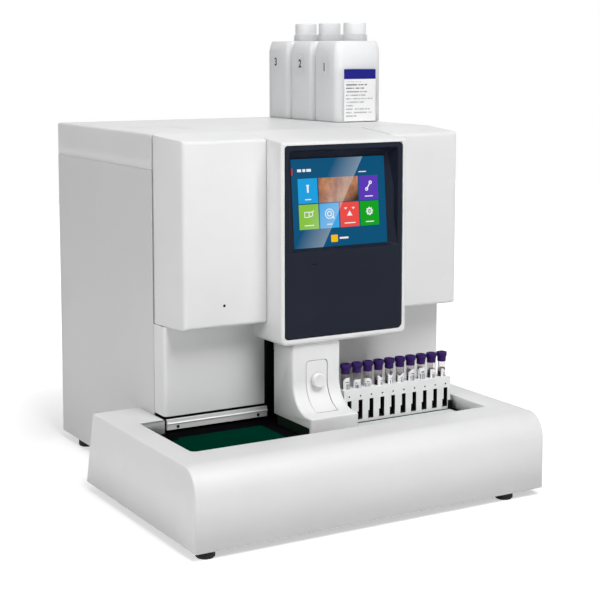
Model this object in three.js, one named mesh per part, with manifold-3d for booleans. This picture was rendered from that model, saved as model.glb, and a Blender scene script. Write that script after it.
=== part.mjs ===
// Glycated hemoglobin analyzer: a bench-top chromatography unit with a sample tray in front.
// Millimetres, +Z up, +Y to the rear. The origin is on the bench, under the middle of the unit.
// A left or a right is measured from the base cover's left or right side, unless its block says
// otherwise. Depths in front of the tower are measured forward from the hinge plane, the heights
// of what stands on the deck from the deck, drops from the unit's top, and the rest from the bench.

import * as THREE from 'three';
import { mergeVertices } from 'three/addons/utils/BufferGeometryUtils.js';
import Module from 'manifold-3d';

const wasm = await Module();
wasm.setup();

// Whole unit
const unitWidth = 602;
const unitDepth = 700;
const footHeight = 12;
const unitHeight = 563;

// Clearances
const seatGap = 0.3;
const slideGap = 0.6;
const seamGap = 2.4;
const overrun = 5;

// Base cover, its well reaching forward from the hinge plane
const baseHeight = 116;
const baseSideDepth = 391;
const baseRearLean = 31;
const baseFrontRadius = 36;
const baseEdge = 2.5;
const baseWall = 3;
const wellLeft = 39;
const wellRight = 45;
const wellFront = 218.9;
const wellWallDrop = 26;

// Tower, with the hinge plane at its front
const towerLeft = 80.5;
const towerRight = 10;
const recessDepth = 38.9;
const hingePlaneDepth = 306.9;
const panelSheet = 1.5;
const casingWall = 2.5;
const sideSeamDrop = 55;
const towerEdge = 2;
const towerCorner = 5;
const sideLipWidth = 5;
const sideLipSetback = 5;

// Doors and their hinges
const doorDepth = 87.6;
const doorBottomHeight = 271.3;
const doorFrontDrop = 7;
const leftDoorShare = 0.5354;
const doorCorner = 9;
const doorTopRadius = 6;
const doorGap = 1;
const hingeInset = 6.5;
const hingeRearGap = 1.5;
const hingePinRadius = 2;
const hingePinGap = 0.25;
const knuckleRadius = 3.7;
const knuckleHeight = 16;
const lugThickness = 4;
const lugWall = 0.75;
const indicatorInset = 78.5;
const indicatorRise = 33.7;
const indicatorRadius = 2.5;

// Console, dark panel and screen
const consoleWidth = 227.1;
const consoleDepth = 134.1;
const consoleBottomHeight = 241.5;
const consoleCorner = 9;
const consoleEdge = 5;
const consoleFootMargin = 10;
const panelLeftRim = 5.2;
const panelRightRim = 7.7;
const panelBottomRim = 9.5;
const panelTopDrop = 15.6;
const panelCorner = 6;
const panelInset = 0.4;
const panelFlange = 2;
const panelFlangeThickness = 2;
const panelThickness = consoleEdge + panelFlangeThickness;
const screenOpeningInset = 14.1;
const screenOpeningWidth = 196.3;
const screenOpeningDrop = 24;
const screenOpeningHeight = 154.5;
const glassWidth = 169.6;
const glassHeight = 136.5;
const glassBottomRise = 4.1;
const glassBottomSink = 9.7;
const glassTilt = 5.1;
const screenThickness = 9;
const funnelWall = 3;
const dashWidth = 8;
const dashHeight = 1.5;
const dashSpacing = 14;
const dashDrop = 22;
const dashLeftOffset = 36;
const dashDepth = 1.75;

// Recessed lower panel, from its height above the deck, and the needle bay
const lowerPanelBottom = 23.5;
const lowerPanelCorner = 6;
const bayWidth = 78;
const bayWall = 2.5;
const baySillHeight = 18;
const lowerRibWidth = 10;
const lowerRibMargin = 14;

// Front frame and chassis
const chassisThickness = 3;
const chassisMargin = 4;
const flangeHeight = 25;
const flangeSetback = 5;
const frameSheet = 2;
const frameShoulder = 8;
const frameTopDrop = 3;
const standOffLength = 8;
const standOffRadius = 3;

// Sample deck, mat and rail
const deckDrop = 21.5;
const deckThickness = 3;
const deckWebInset = 8;
const deckWebMargin = 20;
const matThickness = 0.9;
const matInset = 12;
const matLaneDepth = 83.9;
const railHeight = 19;
const railThickness = 1.2;
const railBottomGap = 4.5;
const railLip = 2.6;
const railScrewRadius = 2.6;
const railScrewInset = 16.5;
const railScrewRise = 3.9;
const railScrewHead = 2.4;
const railLeftMargin = 5;
const railColumnLap = 2.6;

// Column and its foot, with heights above the deck
const columnRackGap = 4;
const columnWidth = 85;
const columnFaceDepth = 126.9;
const columnRearDepth = 75.9;
const columnFootDepth = 181.9;
const columnFootTopHeight = 31.5;
const columnFootRadius = 3;
const columnCurveRadius = 44;
const columnSkirtHeight = 15.5;
const columnWall = 2.5;
const pedestalSideInset = 14;

// STAT drawer, with heights above the deck
const drawerWidth = 37.6;
const drawerTopHeight = 106.5;
const drawerBottomHeight = 33.5;
const drawerCorner = 5;
const drawerFrontThickness = 6;
const drawerFloorThickness = 9;
const drawerFloorInset = 6;
const drawerLength = 44;
const holderSide = 25;
const holderHeight = 55;
const holderBoreRadius = 7;
const holderBoreDepth = 48;
const holderRearMargin = 1.5;
const knobRadius = 11;
const knobLength = 11;
const knobHeight = 76.5;
const knobNeckRadius = 6;
const knobNeckLength = 3;
const knobEdge = 1.2;

// Sample rack and tubes, with heights above the deck
const tubeCount = 10;
const tubePitch = 20.57;
const tubeRadius = 6.5;
const tubeBottomHeight = 5.5;
const stopperTopHeight = 94;
const stopperHeight = 20;
const stopperSkirtRadius = 7.6;
const stopperHeadRadius = 8.6;
const stopperHeadHeight = 9;
const stopperDimple = 3;
const rackRight = 51.87;
const rackEndMargin = 10;
const rackDepth = 132.9;
const rackThickness = 24;
const rackTopHeight = 53.5;
const pocketGap = 0.35;
const slotWidth = 7.5;
const slotFootWidth = 10;
const slotBottomHeight = 4.5;
const slotStepHeight = 17.5;
const slotTopHeight = 36.1;
const windowRadius = 1.5;
const windowHeight = 42.5;

// Feed pusher, with its height above the deck
const fingerWidth = 5;
const fingerDepth = 6;
const fingerTopHeight = 14.5;
const pusherStroke = 60;
const pusherBarHeight = 8;

// Needle drive, with heights above the deck
const needleDepth = 56.9;
const needleRadius = 1;
const needleTipHeight = 107.5;
const needleLength = 92;
const needleTipLength = 4;
const carriageBottomHeight = 183.5;
const carriageHeight = 36;
const carriageWidth = 26;
const carriageDepth = 16;
const armWidth = 14;
const armHeight = 12;
const guideWidth = 12;
const guideDepth = 7;
const guideBottomHeight = 101.5;
const guideTopHeight = 238.5;

// Fluid pieces behind the doors, inset from the tower's nearer side
const ovenInset = 37.5;
const ovenWidth = 92;
const ovenDepth = 44;
const ovenBottomHeight = 395;
const ovenHeight = 118;
const ovenLand = 12;
const ovenGrooveRadius = 9;
const columnTubeRadius = 6;
const columnTubeGap = 5;
const columnNutRadius = 8;
const columnNutLength = 10;
const valveInset = 83.5;
const valveHeight = 338;
const valveRadius = 22;
const valveLength = 40;
const valveRotorRadius = 16;
const valveRotorLength = 12;
const valveStemRadius = 5;
const valveStemLength = 8;
const pumpInset = 48;
const pumpWidth = 64;
const pumpDepth = 42;
const pumpBottomHeight = 330;
const pumpHeight = 62;
const plungerRadius = 4;
const plungerLength = 44;
const plungerHeadRadius = 11;
const plungerHeadLength = 6;
const plungerEntry = 30;
const detectorInset = 38;
const detectorWidth = 80;
const detectorDepth = 46;
const detectorBottomHeight = 428;
const detectorHeight = 62;
const detectorEdge = 3;

// Pieces inside the tower and in its back
const supplyLeft = 110;
const supplyWidth = 190;
const supplyDepth = 110;
const supplyHeight = 82;
const supplyRearMargin = 18;
const boardLeft = 150;
const boardWidth = 260;
const boardBottomHeight = 200;
const boardHeight = 210;
const boardThickness = 1.6;
const boardPlugCount = 3;
const boardPlugWidth = 40;
const boardPlugDepth = 9;
const boardPlugHeight = 12;
const boardMargin = 10;
const rearPanelInset = 3.5;
const fanRight = 162;
const fanHeight = 360;
const fanRadius = 38;
const fanDuctWall = 2.5;
const fanDuctDepth = 25;
const fanHubRadius = 15;
const fanHubDepth = 15;
const fanTipGap = 2;
const fanBladeCount = 7;
const fanBladeThickness = 1.6;
const fanBladeTwist = 32;
const fanSpokeWidth = 5;
const fanSpokeDepth = 3;
const fanAxleRadius = 3;
const slotCount = 8;
const ventSlotHeight = 4;
const inletLeft = 160;
const inletHeight = 110;
const inletWidth = 48;
const inletTall = 27;
const inletDepth = 22;
const inletFaceLip = 2.5;
const inletRecess = 15;
const inletSocketWidth = 24;
const inletSocketHeight = 16.5;
const inletPinWidth = 2;
const inletPinHeight = 4;
const inletPinSpacing = 7;
const inletPinLength = 9;
const switchLeft = 215;
const switchWidth = 19;
const switchHeight = 27;
const switchDepth = 12;
const switchTilt = 10;
const switchPocketWall = 2;
const rockerGap = 1;
const rockerRootHeight = 2.4;
const topWellLeft = 117;
const topWellWidth = 99;
const topWellDepth = 410;
const topWellLength = 108;
const topWellSink = 2;
const topWellCorner = 8;

// Feet, the rear ones measured from the rear
const footRadius = 14;
const footTaper = 2;
const footFrontLeft = 24;
const footFrontRight = 62;
const footFrontDepth = 19;
const footRearInset = 15;
const footRearDepth = 75;

// Reagent bottles, their row measured from the rear
const bottleCount = 3;
const bottleWidth = 93;
const bottleLength = 80;
const bottlePitch = 85;
const bottleHeight = 142;
const bottleRight = 13;
const bottleRearDepth = 258;
const bottleCorner = 10;
const bottleShoulder = 6;
const bottleShoulderDrop = 14;
const neckOffset = 15;
const collarRadius = 22.5;
const collarHeight = 12;
const neckRadius = 14;
const neckHeight = 16;
const capRadius = 20;
const capHeight = 20;
const capEdge = 2;

// Roundness of the facets
const arcSteps = 5;
const roundSides = 16;
const fineSides = 24;
const tubeSides = 14;
const coarseSides = 12;
const smallSides = 8;
const edgeSteps = 2;
const gridPerUnit = 1024;

const part = new THREE.Group();

// Places measured from the sides, the front face, the rear, the hinge plane and the deck
const leftX = -unitWidth / 2;
const frontY = -unitDepth / 2;
const fromLeft = (distance) => leftX + distance;
const fromFront = (distance) => frontY + distance;
const fromRight = (distance) => unitWidth / 2 - distance;
const fromRear = (distance) => unitDepth / 2 - distance;
const middle = ([low, high]) => (low + high) / 2;
const length = ([low, high]) => high - low;
const inset = ([low, high], distance) => [low + distance, high - distance];
const spanFrom = (low, size) => [low, low + size];
const spanAround = (centre, size) => [centre - size / 2, centre + size / 2];

// Spans and places that several pieces share
const unitX = [fromLeft(0), fromRight(0)];
const baseTopZ = footHeight + baseHeight;
const deckTopZ = baseTopZ - deckDrop;
const aboveDeck = (distance) => deckTopZ + distance;
const wellX = [fromLeft(wellLeft), fromRight(wellRight)];
const towerX = [fromLeft(towerLeft), fromRight(towerRight)];
const hingePlaneY = fromFront(hingePlaneDepth);
const fromHinge = (distance) => hingePlaneY - distance;
const recessY = fromHinge(recessDepth);
const towerRearY = fromRear(0);
const sideSeamZ = unitHeight - sideSeamDrop;
const doorRearY = hingePlaneY - seamGap;
const hingeY = hingePlaneY - hingeInset - hingeRearGap;
const hingeX = inset(towerX, hingeInset);
const doorFrontY = fromHinge(doorDepth);
const slopePerDepth = doorFrontDrop / (doorRearY - doorFrontY);
const doorsWidth = length(towerX) - consoleWidth - 2 * seamGap;
const consoleX = spanFrom(towerX[0] + leftDoorShare * doorsWidth + seamGap, consoleWidth);
const consoleY = fromHinge(consoleDepth);
const rackWidth = (tubeCount - 1) * tubePitch + 2 * rackEndMargin;
const rackX = [fromRight(rackRight) - rackWidth, fromRight(rackRight)];
const rackY = spanFrom(fromHinge(rackDepth), rackThickness);
const columnX = [rackX[0] - columnRackGap - columnWidth, rackX[0] - columnRackGap];
const columnMiddleX = middle(columnX);
const columnFaceY = fromHinge(columnFaceDepth);
const columnRearY = fromHinge(columnRearDepth);
const columnFootY = fromHinge(columnFootDepth);
const chassisTopZ = footHeight + chassisThickness;
const bayX = spanAround(columnMiddleX, bayWidth);
const framePlateY = [hingePlaneY, hingePlaneY + frameSheet];
const mountFaceY = hingePlaneY - seatGap;
const rearPanelY = [towerRearY - rearPanelInset - panelSheet, towerRearY - rearPanelInset];
const holderY = spanFrom(columnFaceY + drawerLength - holderRearMargin - holderSide, holderSide);
const drawerX = spanAround(columnMiddleX, drawerWidth);
const glassTiltAngle = THREE.MathUtils.degToRad(glassTilt);

// Solids from three.js geometry

// Corners are set on a fine grid, so that faces meant to lie in one plane do so exactly.
function solid(geometry) {
  geometry.deleteAttribute('normal');
  geometry.deleteAttribute('uv');
  const places = geometry.attributes.position.array;
  places.forEach((place, i) => {
    places[i] = Math.round(place * gridPerUnit) / gridPerUnit;
  });
  const merged = mergeVertices(geometry);
  const corners = merged.index.array;
  const kept = [];
  for (let i = 0; i < corners.length; i += 3) {
    const [a, b, c] = [corners[i], corners[i + 1], corners[i + 2]];
    if (a !== b && b !== c && c !== a) kept.push(a, b, c);
  }
  return new wasm.Manifold(new wasm.Mesh({
    numProp: 3,
    vertProperties: Float32Array.from(merged.attributes.position.array),
    triVerts: Uint32Array.from(kept),
  }));
}

function block(xs, ys, zs) {
  const box = new THREE.BoxGeometry(length(xs), length(ys), length(zs));
  box.translate(middle(xs), middle(ys), middle(zs));
  return solid(box);
}

function outline(points) {
  return new THREE.Shape(points.map(([u, v]) => new THREE.Vector2(u, v)));
}

function roundedOutline([u0, u1], [v0, v1], radius) {
  const shape = new THREE.Shape();
  shape.moveTo(u0 + radius, v0);
  shape.absarc(u1 - radius, v0 + radius, radius, -Math.PI / 2, 0, false);
  shape.absarc(u1 - radius, v1 - radius, radius, 0, Math.PI / 2, false);
  shape.absarc(u0 + radius, v1 - radius, radius, Math.PI / 2, Math.PI, false);
  shape.absarc(u0 + radius, v0 + radius, radius, Math.PI, Math.PI * 1.5, false);
  return shape;
}

// The outline lies in the plane square to the axis and is carried along the span,
// with its long edges rounded by the given radius at both ends of the span.
const turns = {
  x: new THREE.Matrix4().set(0, 0, 1, 0, 1, 0, 0, 0, 0, 1, 0, 0, 0, 0, 0, 1),
  y: new THREE.Matrix4().set(1, 0, 0, 0, 0, 0, -1, 0, 0, 1, 0, 0, 0, 0, 0, 1),
  z: new THREE.Matrix4(),
};

function prism(axis, shape, span, edge = 0) {
  const geometry = new THREE.ExtrudeGeometry(shape, {
    depth: length(span) - 2 * edge,
    curveSegments: arcSteps,
    bevelEnabled: edge > 0,
    bevelSegments: edgeSteps,
    bevelThickness: edge,
    bevelSize: edge,
    bevelOffset: -edge,
  });
  geometry.translate(0, 0, edge);
  geometry.applyMatrix4(turns[axis]);
  const start = axis === 'y' ? span[1] : span[0];
  const move = { x: [start, 0, 0], y: [0, start, 0], z: [0, 0, start] }[axis];
  geometry.translate(...move);
  return solid(geometry);
}

// Turned pieces: pairs of a radius and a place along the axis, from its low end to its high end.
function turned(profile, sides) {
  return new THREE.LatheGeometry(profile.map(([r, place]) => new THREE.Vector2(r, place)), sides);
}

function turnedY(profile, [x, z], sides = roundSides) {
  return solid(turned(profile, sides).translate(x, 0, z));
}

function turnedZ(profile, [x, y], sides = roundSides) {
  return solid(turned(profile, sides).rotateX(Math.PI / 2).translate(x, y, 0));
}

const rodProfile = (radius, [low, high]) => [[0, low], [radius, low], [radius, high], [0, high]];

function rodY(radius, centre, span, sides) {
  return turnedY(rodProfile(radius, span), centre, sides);
}

function rodZ(radius, centre, span, sides) {
  return turnedZ(rodProfile(radius, span), centre, sides);
}

function joined(...solids) {
  return solids.reduce((whole, next) => whole.add(next));
}

function add(name, piece, colour, roughness, metalness = 0) {
  const mesh = piece.getMesh();
  const geometry = new THREE.BufferGeometry();
  geometry.setAttribute('position', new THREE.BufferAttribute(mesh.vertProperties, 3));
  geometry.setIndex(new THREE.BufferAttribute(mesh.triVerts, 1));
  geometry.computeVertexNormals();
  const material = new THREE.MeshStandardMaterial({ color: colour, roughness, metalness });
  const node = new THREE.Mesh(geometry, material);
  node.name = name;
  part.add(node);
}

const colours = {
  casing: 0xe6e8ea,
  casingShade: 0xd4d6d9,
  steel: 0xb4b8bc,
  black: 0x16181a,
  mat: 0x06402c,
  panel: 0x232a36,
  glass: 0x0b5675,
  aluminium: 0xc9ccce,
  stopper: 0x3a2160,
  bottle: 0xe9ebee,
  board: 0x1f6b45,
};

// Chassis: a base pan with flanges turned up inside the tower
function chassisBase() {
  const frontPan = block(
    inset(unitX, chassisMargin),
    [fromFront(chassisMargin), hingePlaneY],
    [footHeight, chassisTopZ],
  );
  const panX = inset(towerX, casingWall + seatGap);
  const rearPanY = [hingePlaneY - overrun, rearPanelY[0] - seatGap];
  const rearPan = block(panX, rearPanY, [footHeight, chassisTopZ]);
  const flangeZ = [footHeight, chassisTopZ + flangeHeight];
  const flangeY = [hingePlaneY + flangeSetback, rearPanelY[0] - seatGap];
  const leftFlange = block([panX[0], panX[0] + frameSheet], flangeY, flangeZ);
  const rightFlange = block([panX[1] - frameSheet, panX[1]], flangeY, flangeZ);
  const rearFlange = block(panX, [flangeY[1] - frameSheet, flangeY[1]], flangeZ);
  return joined(frontPan, rearPan, leftFlange, rightFlange, rearFlange);
}

// Front frame: a steel bulkhead with hinge lugs at its sides and board stand-offs behind
const frameShoulderX = inset(hingeX, frameShoulder);
const frameTopZ = unitHeight - casingWall - frameTopDrop;
const lugBottomZ = doorBottomHeight + casingWall + doorGap;
const lugTopZ = unitHeight - doorFrontDrop - doorTopRadius - casingWall - lugThickness - doorGap;
const boardX = spanFrom(fromLeft(boardLeft), boardWidth);
const boardZ = spanFrom(boardBottomHeight, boardHeight);

function hingeLug(side, bottomZ) {
  const centreX = hingeX[side];
  const reachX = frameShoulderX[side];
  const barX = side === 0 ? [centreX, reachX + lugThickness] : [reachX - lugThickness, centreX];
  const postX = side === 0 ? [reachX, reachX + lugThickness] : [reachX - lugThickness, reachX];
  const zs = spanFrom(bottomZ, lugThickness);
  const lugRadius = hingePinRadius + hingePinGap + lugWall;
  const bar = block(barX, [hingeY - lugRadius, hingeY + lugRadius], zs);
  const eye = rodZ(lugRadius, [centreX, hingeY], zs);
  const post = block(postX, [hingeY - lugRadius, hingePlaneY + frameSheet / 2], zs);
  const hole = rodZ(hingePinRadius + hingePinGap, [centreX, hingeY], inset(zs, -overrun));
  return joined(bar, eye, post).subtract(hole);
}

function frontFrame() {
  const lowerX = inset(towerX, casingWall + seatGap);
  const lowerTopZ = doorBottomHeight - doorGap;
  const lower = block(lowerX, framePlateY, [chassisTopZ + seatGap, lowerTopZ]);
  const upper = block(frameShoulderX, framePlateY, [lowerTopZ - overrun, frameTopZ]);
  const lugs = [0, 1].flatMap((side) => [hingeLug(side, lugBottomZ), hingeLug(side, lugTopZ)]);
  const standOffs = [];
  for (const x of inset(boardX, boardMargin)) {
    for (const z of inset(boardZ, boardMargin)) {
      const span = [framePlateY[1] - frameSheet / 2, framePlateY[1] + standOffLength];
      standOffs.push(rodY(standOffRadius, [x, z], span));
    }
  }
  return joined(lower, upper, ...lugs, ...standOffs);
}

// Base cover: a moulded tray shell with a well for the racks and a notch for the tower
function baseProfile(wall) {
  const bottomZ = wall > 0 ? footHeight - overrun : footHeight;
  const topZ = baseTopZ - wall;
  const radius = baseFrontRadius - wall;
  const shape = new THREE.Shape();
  shape.moveTo(fromFront(wall), bottomZ);
  shape.lineTo(fromFront(baseSideDepth - wall), bottomZ);
  shape.lineTo(fromFront(baseSideDepth - baseRearLean - wall), topZ);
  shape.lineTo(fromFront(baseFrontRadius), topZ);
  shape.absarc(fromFront(baseFrontRadius), topZ - radius, radius, Math.PI / 2, Math.PI, false);
  return shape;
}

function baseCover() {
  const outer = prism('x', baseProfile(0), unitX, baseEdge);
  const inner = prism('x', baseProfile(baseWall), inset(unitX, baseWall));
  const wellY = [fromHinge(wellFront), recessY];
  const notchX = inset(towerX, -seatGap);
  const notchY = [recessY - seatGap, towerRearY];
  const topOver = baseTopZ + overrun;
  const wallZ = [baseTopZ - wellWallDrop, topOver];
  const wellWall = block(inset(wellX, -baseWall), inset(wellY, -baseWall), wallZ);
  const notchWall = block(inset(notchX, -baseWall), [notchY[0] - baseWall, notchY[1]], wallZ);
  const well = block(wellX, wellY, [footHeight - overrun, topOver]);
  const notch = block(notchX, notchY, [footHeight - overrun, topOver]);
  const cavity = inner.subtract(wellWall).subtract(notchWall);
  return outer.subtract(cavity).subtract(well).subtract(notch);
}

// Sample deck: a folded plate on two webs, with slots for the pusher's fingers
const fingerX = [
  [rackX[0] + seatGap, rackX[0] + seatGap + fingerWidth],
  [rackX[1] - seatGap - fingerWidth, rackX[1] - seatGap],
];
const fingerY = [rackY[0] - seatGap - fingerDepth, rackY[0] - seatGap];

function sampleDeck() {
  const plateZ = [deckTopZ - deckThickness, deckTopZ];
  const deckX = inset(wellX, seatGap);
  const front = block(deckX, [fromHinge(wellFront) + seatGap, recessY - 2 * seatGap], plateZ);
  const innerX = [towerX[0], deckX[1]];
  const rearY = mountFaceY - seatGap;
  const rear = block(innerX, [recessY - overrun, rearY], plateZ);
  const webX = inset(innerX, deckWebMargin);
  const webZ = [chassisTopZ + seatGap, deckTopZ - deckThickness / 2];
  const frontWeb = block(webX, spanFrom(fromHinge(wellFront) + deckWebInset, deckThickness), webZ);
  const rearWeb = block(webX, spanFrom(rearY - deckWebInset, deckThickness), webZ);
  let deck = joined(front, rear, frontWeb, rearWeb);
  for (const xs of fingerX) {
    const slotY = [fingerY[0] - slideGap, fingerY[1] + pusherStroke + slideGap];
    deck = deck.subtract(block(inset(xs, -slideGap), slotY, inset(plateZ, -overrun)));
  }
  return deck;
}

// Deck mat: a thin sheet in front of the lane, cut out round the column and the fingers
function deckMat() {
  const xs = inset(wellX, matInset);
  const ys = [fromHinge(wellFront) + slideGap, fromHinge(matLaneDepth)];
  const zs = spanFrom(deckTopZ, matThickness);
  const columnCut = block(
    inset(columnX, -matInset),
    [columnFootY - matInset, ys[1] + overrun],
    inset(zs, -overrun),
  );
  const rackCut = block(
    [columnX[1], rackX[1] + matInset],
    [fingerY[0] - seatGap, ys[1] + overrun],
    inset(zs, -overrun),
  );
  return block(xs, ys, zs).subtract(columnCut).subtract(rackCut);
}

// Lane rail: an aluminium angle along the foot of the recessed panel
function laneRail() {
  const xs = [towerX[0] + railLeftMargin, columnX[0] + railColumnLap];
  const zs = spanFrom(aboveDeck(railBottomGap), railHeight);
  const faceY = [recessY - railThickness - seatGap, recessY - seatGap];
  const insideY = recessY - seatGap - railThickness / 2;
  const face = block(xs, faceY, zs);
  const lipZ = spanAround(middle(zs) - railLip, railLip);
  const lip = block(xs, [recessY - railThickness - railLip, insideY], lipZ);
  const foot = block(xs, [faceY[0], recessY + railLip], spanFrom(zs[0], railThickness));
  const legY = [recessY + railLip - railThickness, recessY + railLip];
  const leg = block(xs, legY, [aboveDeck(seatGap), zs[0] + railThickness]);
  let rail = joined(face, lip, foot, leg);
  for (const x of inset(xs, railScrewInset)) {
    const screwY = [recessY - railScrewHead, insideY];
    rail = rail.add(rodY(railScrewRadius, [x, zs[0] + railScrewRise], screwY));
  }
  return rail;
}

// Recessed lower panel: two fronts beside the needle bay, joined by the bay's sill
function lowerFrontPanel() {
  const zs = [aboveDeck(lowerPanelBottom), doorBottomHeight - doorGap];
  const ys = [recessY, doorRearY + lowerPanelCorner];
  const tallZ = inset(zs, -overrun);
  const outer = prism('z', roundedOutline(towerX, ys, lowerPanelCorner), zs);
  const innerX = inset(towerX, casingWall);
  const innerY = [recessY + casingWall, ys[1] + overrun];
  const inner = prism('z', roundedOutline(innerX, innerY, lowerPanelCorner - casingWall), tallZ);
  const behind = block(inset(towerX, -overrun), [doorRearY, ys[1] + overrun], tallZ);
  const bay = block(bayX, [recessY - overrun, mountFaceY + overrun], tallZ);
  const wallY = [recessY + casingWall / 2, mountFaceY];
  const liner = block(inset(bayX, -bayWall), wallY, zs).subtract(bay);
  const sill = block(
    inset(bayX, -bayWall / 2),
    [mountFaceY - bayWall, mountFaceY],
    spanFrom(zs[0], baySillHeight),
  );
  const leftRib = block(spanFrom(innerX[0] + lowerRibMargin, lowerRibWidth), wallY, zs);
  const rightRibX = innerX[1] - lowerRibMargin - lowerRibWidth;
  const rightRib = block(spanFrom(rightRibX, lowerRibWidth), wallY, zs);
  const fronts = outer.subtract(inner).subtract(behind).subtract(bay);
  return joined(fronts, liner, sill, leftRib, rightRib);
}

// Side panels, top cover and rear panel of the tower
function sidePanel(side) {
  const outerX = towerX[side];
  const topZ = sideSeamZ - seatGap;
  const xs = side === 0 ? spanFrom(outerX, panelSheet) : [outerX - panelSheet, outerX];
  const skin = block(xs, [hingePlaneY, towerRearY], [footHeight, topZ]);
  const lipX = side === 0 ? spanFrom(outerX, sideLipWidth) : [outerX - sideLipWidth, outerX];
  const lipY = [hingePlaneY + sideLipSetback, rearPanelY[0] - seatGap];
  return skin.add(block(lipX, lipY, [topZ - panelSheet, topZ]));
}

function topCover() {
  const ys = [hingePlaneY, towerRearY];
  const zs = [sideSeamZ, unitHeight];
  const deepZ = [zs[0] - overrun, zs[1]];
  const wideY = [ys[0] - towerCorner - overrun, ys[1]];
  const full = prism('z', roundedOutline(towerX, wideY, towerCorner), deepZ, towerEdge);
  const kept = block(inset(towerX, -overrun), [ys[0], ys[1] + overrun], [zs[0], zs[1] + overrun]);
  const cavity = block(
    inset(towerX, casingWall),
    [ys[0] - overrun, ys[1] - casingWall],
    [zs[0] - overrun, zs[1] - casingWall],
  );
  const fingerX = spanFrom(fromLeft(topWellLeft), topWellWidth);
  const fingerY = spanFrom(fromFront(topWellDepth), topWellLength);
  const floorZ = zs[1] - topWellSink;
  const pad = block(
    inset(fingerX, -casingWall),
    inset(fingerY, -casingWall),
    [floorZ - casingWall, zs[1] - casingWall / 2],
  );
  const well = prism('z', roundedOutline(fingerX, fingerY, topWellCorner), [floorZ, zs[1] + overrun]);
  return full.intersect(kept).subtract(cavity).add(pad).subtract(well);
}

const inletX = spanFrom(fromLeft(inletLeft), inletWidth);
const inletZ = spanFrom(inletHeight, inletTall);
const switchX = spanFrom(fromLeft(switchLeft), switchWidth);
const switchZ = spanFrom(inletHeight, switchHeight);
const fanX = fromRight(fanRight);
const fanAxis = [fanX, fanHeight];
const fanSpokeY = [rearPanelY[0] - fanDuctDepth, rearPanelY[0] - fanDuctDepth + fanSpokeDepth];

function fanDuct() {
  const ductY = [rearPanelY[0] - fanDuctDepth, rearPanelY[0] + panelSheet / 2];
  const ring = rodY(fanRadius + fanDuctWall, fanAxis, ductY, fineSides);
  const bore = rodY(fanRadius, fanAxis, [ductY[0] - overrun, rearPanelY[0]], fineSides);
  const reach = fanRadius + fanDuctWall / 2;
  const level = block(spanAround(fanX, 2 * reach), fanSpokeY, spanAround(fanHeight, fanSpokeWidth));
  const upright = block(spanAround(fanX, fanSpokeWidth), fanSpokeY, spanAround(fanHeight, 2 * reach));
  const axle = rodY(fanAxleRadius, fanAxis, [fanSpokeY[0], fanSpokeY[1] + fanHubDepth / 2]);
  return joined(ring.subtract(bore), level, upright, axle);
}

function ventSlots() {
  const slots = [];
  for (let i = 0; i < slotCount; i += 1) {
    const offset = (i - (slotCount - 1) / 2) * 2 * ventSlotHeight;
    const halfChord = Math.sqrt((fanRadius - fanTipGap) ** 2 - offset ** 2) - fanTipGap;
    const zs = spanAround(fanHeight + offset, ventSlotHeight);
    slots.push(block(spanAround(fanX, 2 * halfChord), inset(rearPanelY, -overrun), zs));
  }
  return joined(...slots);
}

function switchPocket() {
  const ys = [rearPanelY[0] - switchDepth - switchPocketWall, rearPanelY[0] + panelSheet / 2];
  return block(inset(switchX, -switchPocketWall), ys, inset(switchZ, -switchPocketWall));
}

function rearPanel() {
  const xs = inset(towerX, panelSheet + seatGap);
  const zs = [footHeight, sideSeamZ - seatGap];
  const skin = block(xs, rearPanelY, zs);
  const throughY = inset(rearPanelY, -overrun);
  const inletHole = block(inset(inletX, -seatGap), throughY, inset(inletZ, -seatGap));
  const switchHole = block(
    inset(switchX, -seatGap),
    [rearPanelY[0] - switchDepth, rearPanelY[1] + overrun],
    inset(switchZ, -slideGap),
  );
  return skin.subtract(ventSlots()).subtract(inletHole).add(fanDuct()).add(switchPocket())
    .subtract(switchHole);
}

function fanRotor() {
  const hubY = [fanSpokeY[1] + fanTipGap / 2, fanSpokeY[1] + fanTipGap / 2 + fanHubDepth];
  let rotor = rodY(fanHubRadius, fanAxis, hubY, fineSides);
  const bladeLength = fanRadius - fanTipGap - fanHubRadius / 2;
  for (let i = 0; i < fanBladeCount; i += 1) {
    const blade = block(
      [-fanHubDepth / 2, fanHubDepth / 2],
      [-fanBladeThickness / 2, fanBladeThickness / 2],
      [fanHubRadius / 2, fanHubRadius / 2 + bladeLength],
    );
    const placed = blade.rotate([0, 0, fanBladeTwist]).rotate([0, (i * 360) / fanBladeCount, 0])
      .translate([fanX, middle(hubY), fanHeight]);
    rotor = rotor.add(placed);
  }
  const boreY = [hubY[0] - overrun, fanSpokeY[1] + fanHubDepth / 2 + slideGap];
  return rotor.subtract(rodY(fanAxleRadius + seatGap, fanAxis, boreY));
}

function powerInlet() {
  const bodyY = [rearPanelY[1] - inletDepth, towerRearY - seatGap];
  const body = block(inletX, bodyY, inletZ);
  const lip = block(
    inset(inletX, -inletFaceLip),
    [rearPanelY[1] + seatGap, bodyY[1]],
    inset(inletZ, -inletFaceLip),
  );
  const centreX = middle(inletX);
  const centreZ = middle(inletZ);
  const socketFloorY = bodyY[1] - inletRecess;
  const socket = block(
    spanAround(centreX, inletSocketWidth),
    [socketFloorY, bodyY[1] + overrun],
    spanAround(centreZ, inletSocketHeight),
  );
  let inlet = body.add(lip).subtract(socket);
  for (const step of [-1, 0, 1]) {
    const pinZ = spanAround(centreZ + (step === 0 ? inletPinWidth : -inletPinWidth), inletPinHeight);
    const pinX = spanAround(centreX + step * inletPinSpacing, inletPinWidth);
    inlet = inlet.add(block(pinX, [socketFloorY - inletPinWidth, socketFloorY + inletPinLength], pinZ));
  }
  return inlet;
}

// Power switch: a rocker whose two faces meet in a shallow valley over its pivot
const switchPivotY = rearPanelY[1] - switchDepth / 2;

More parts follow.
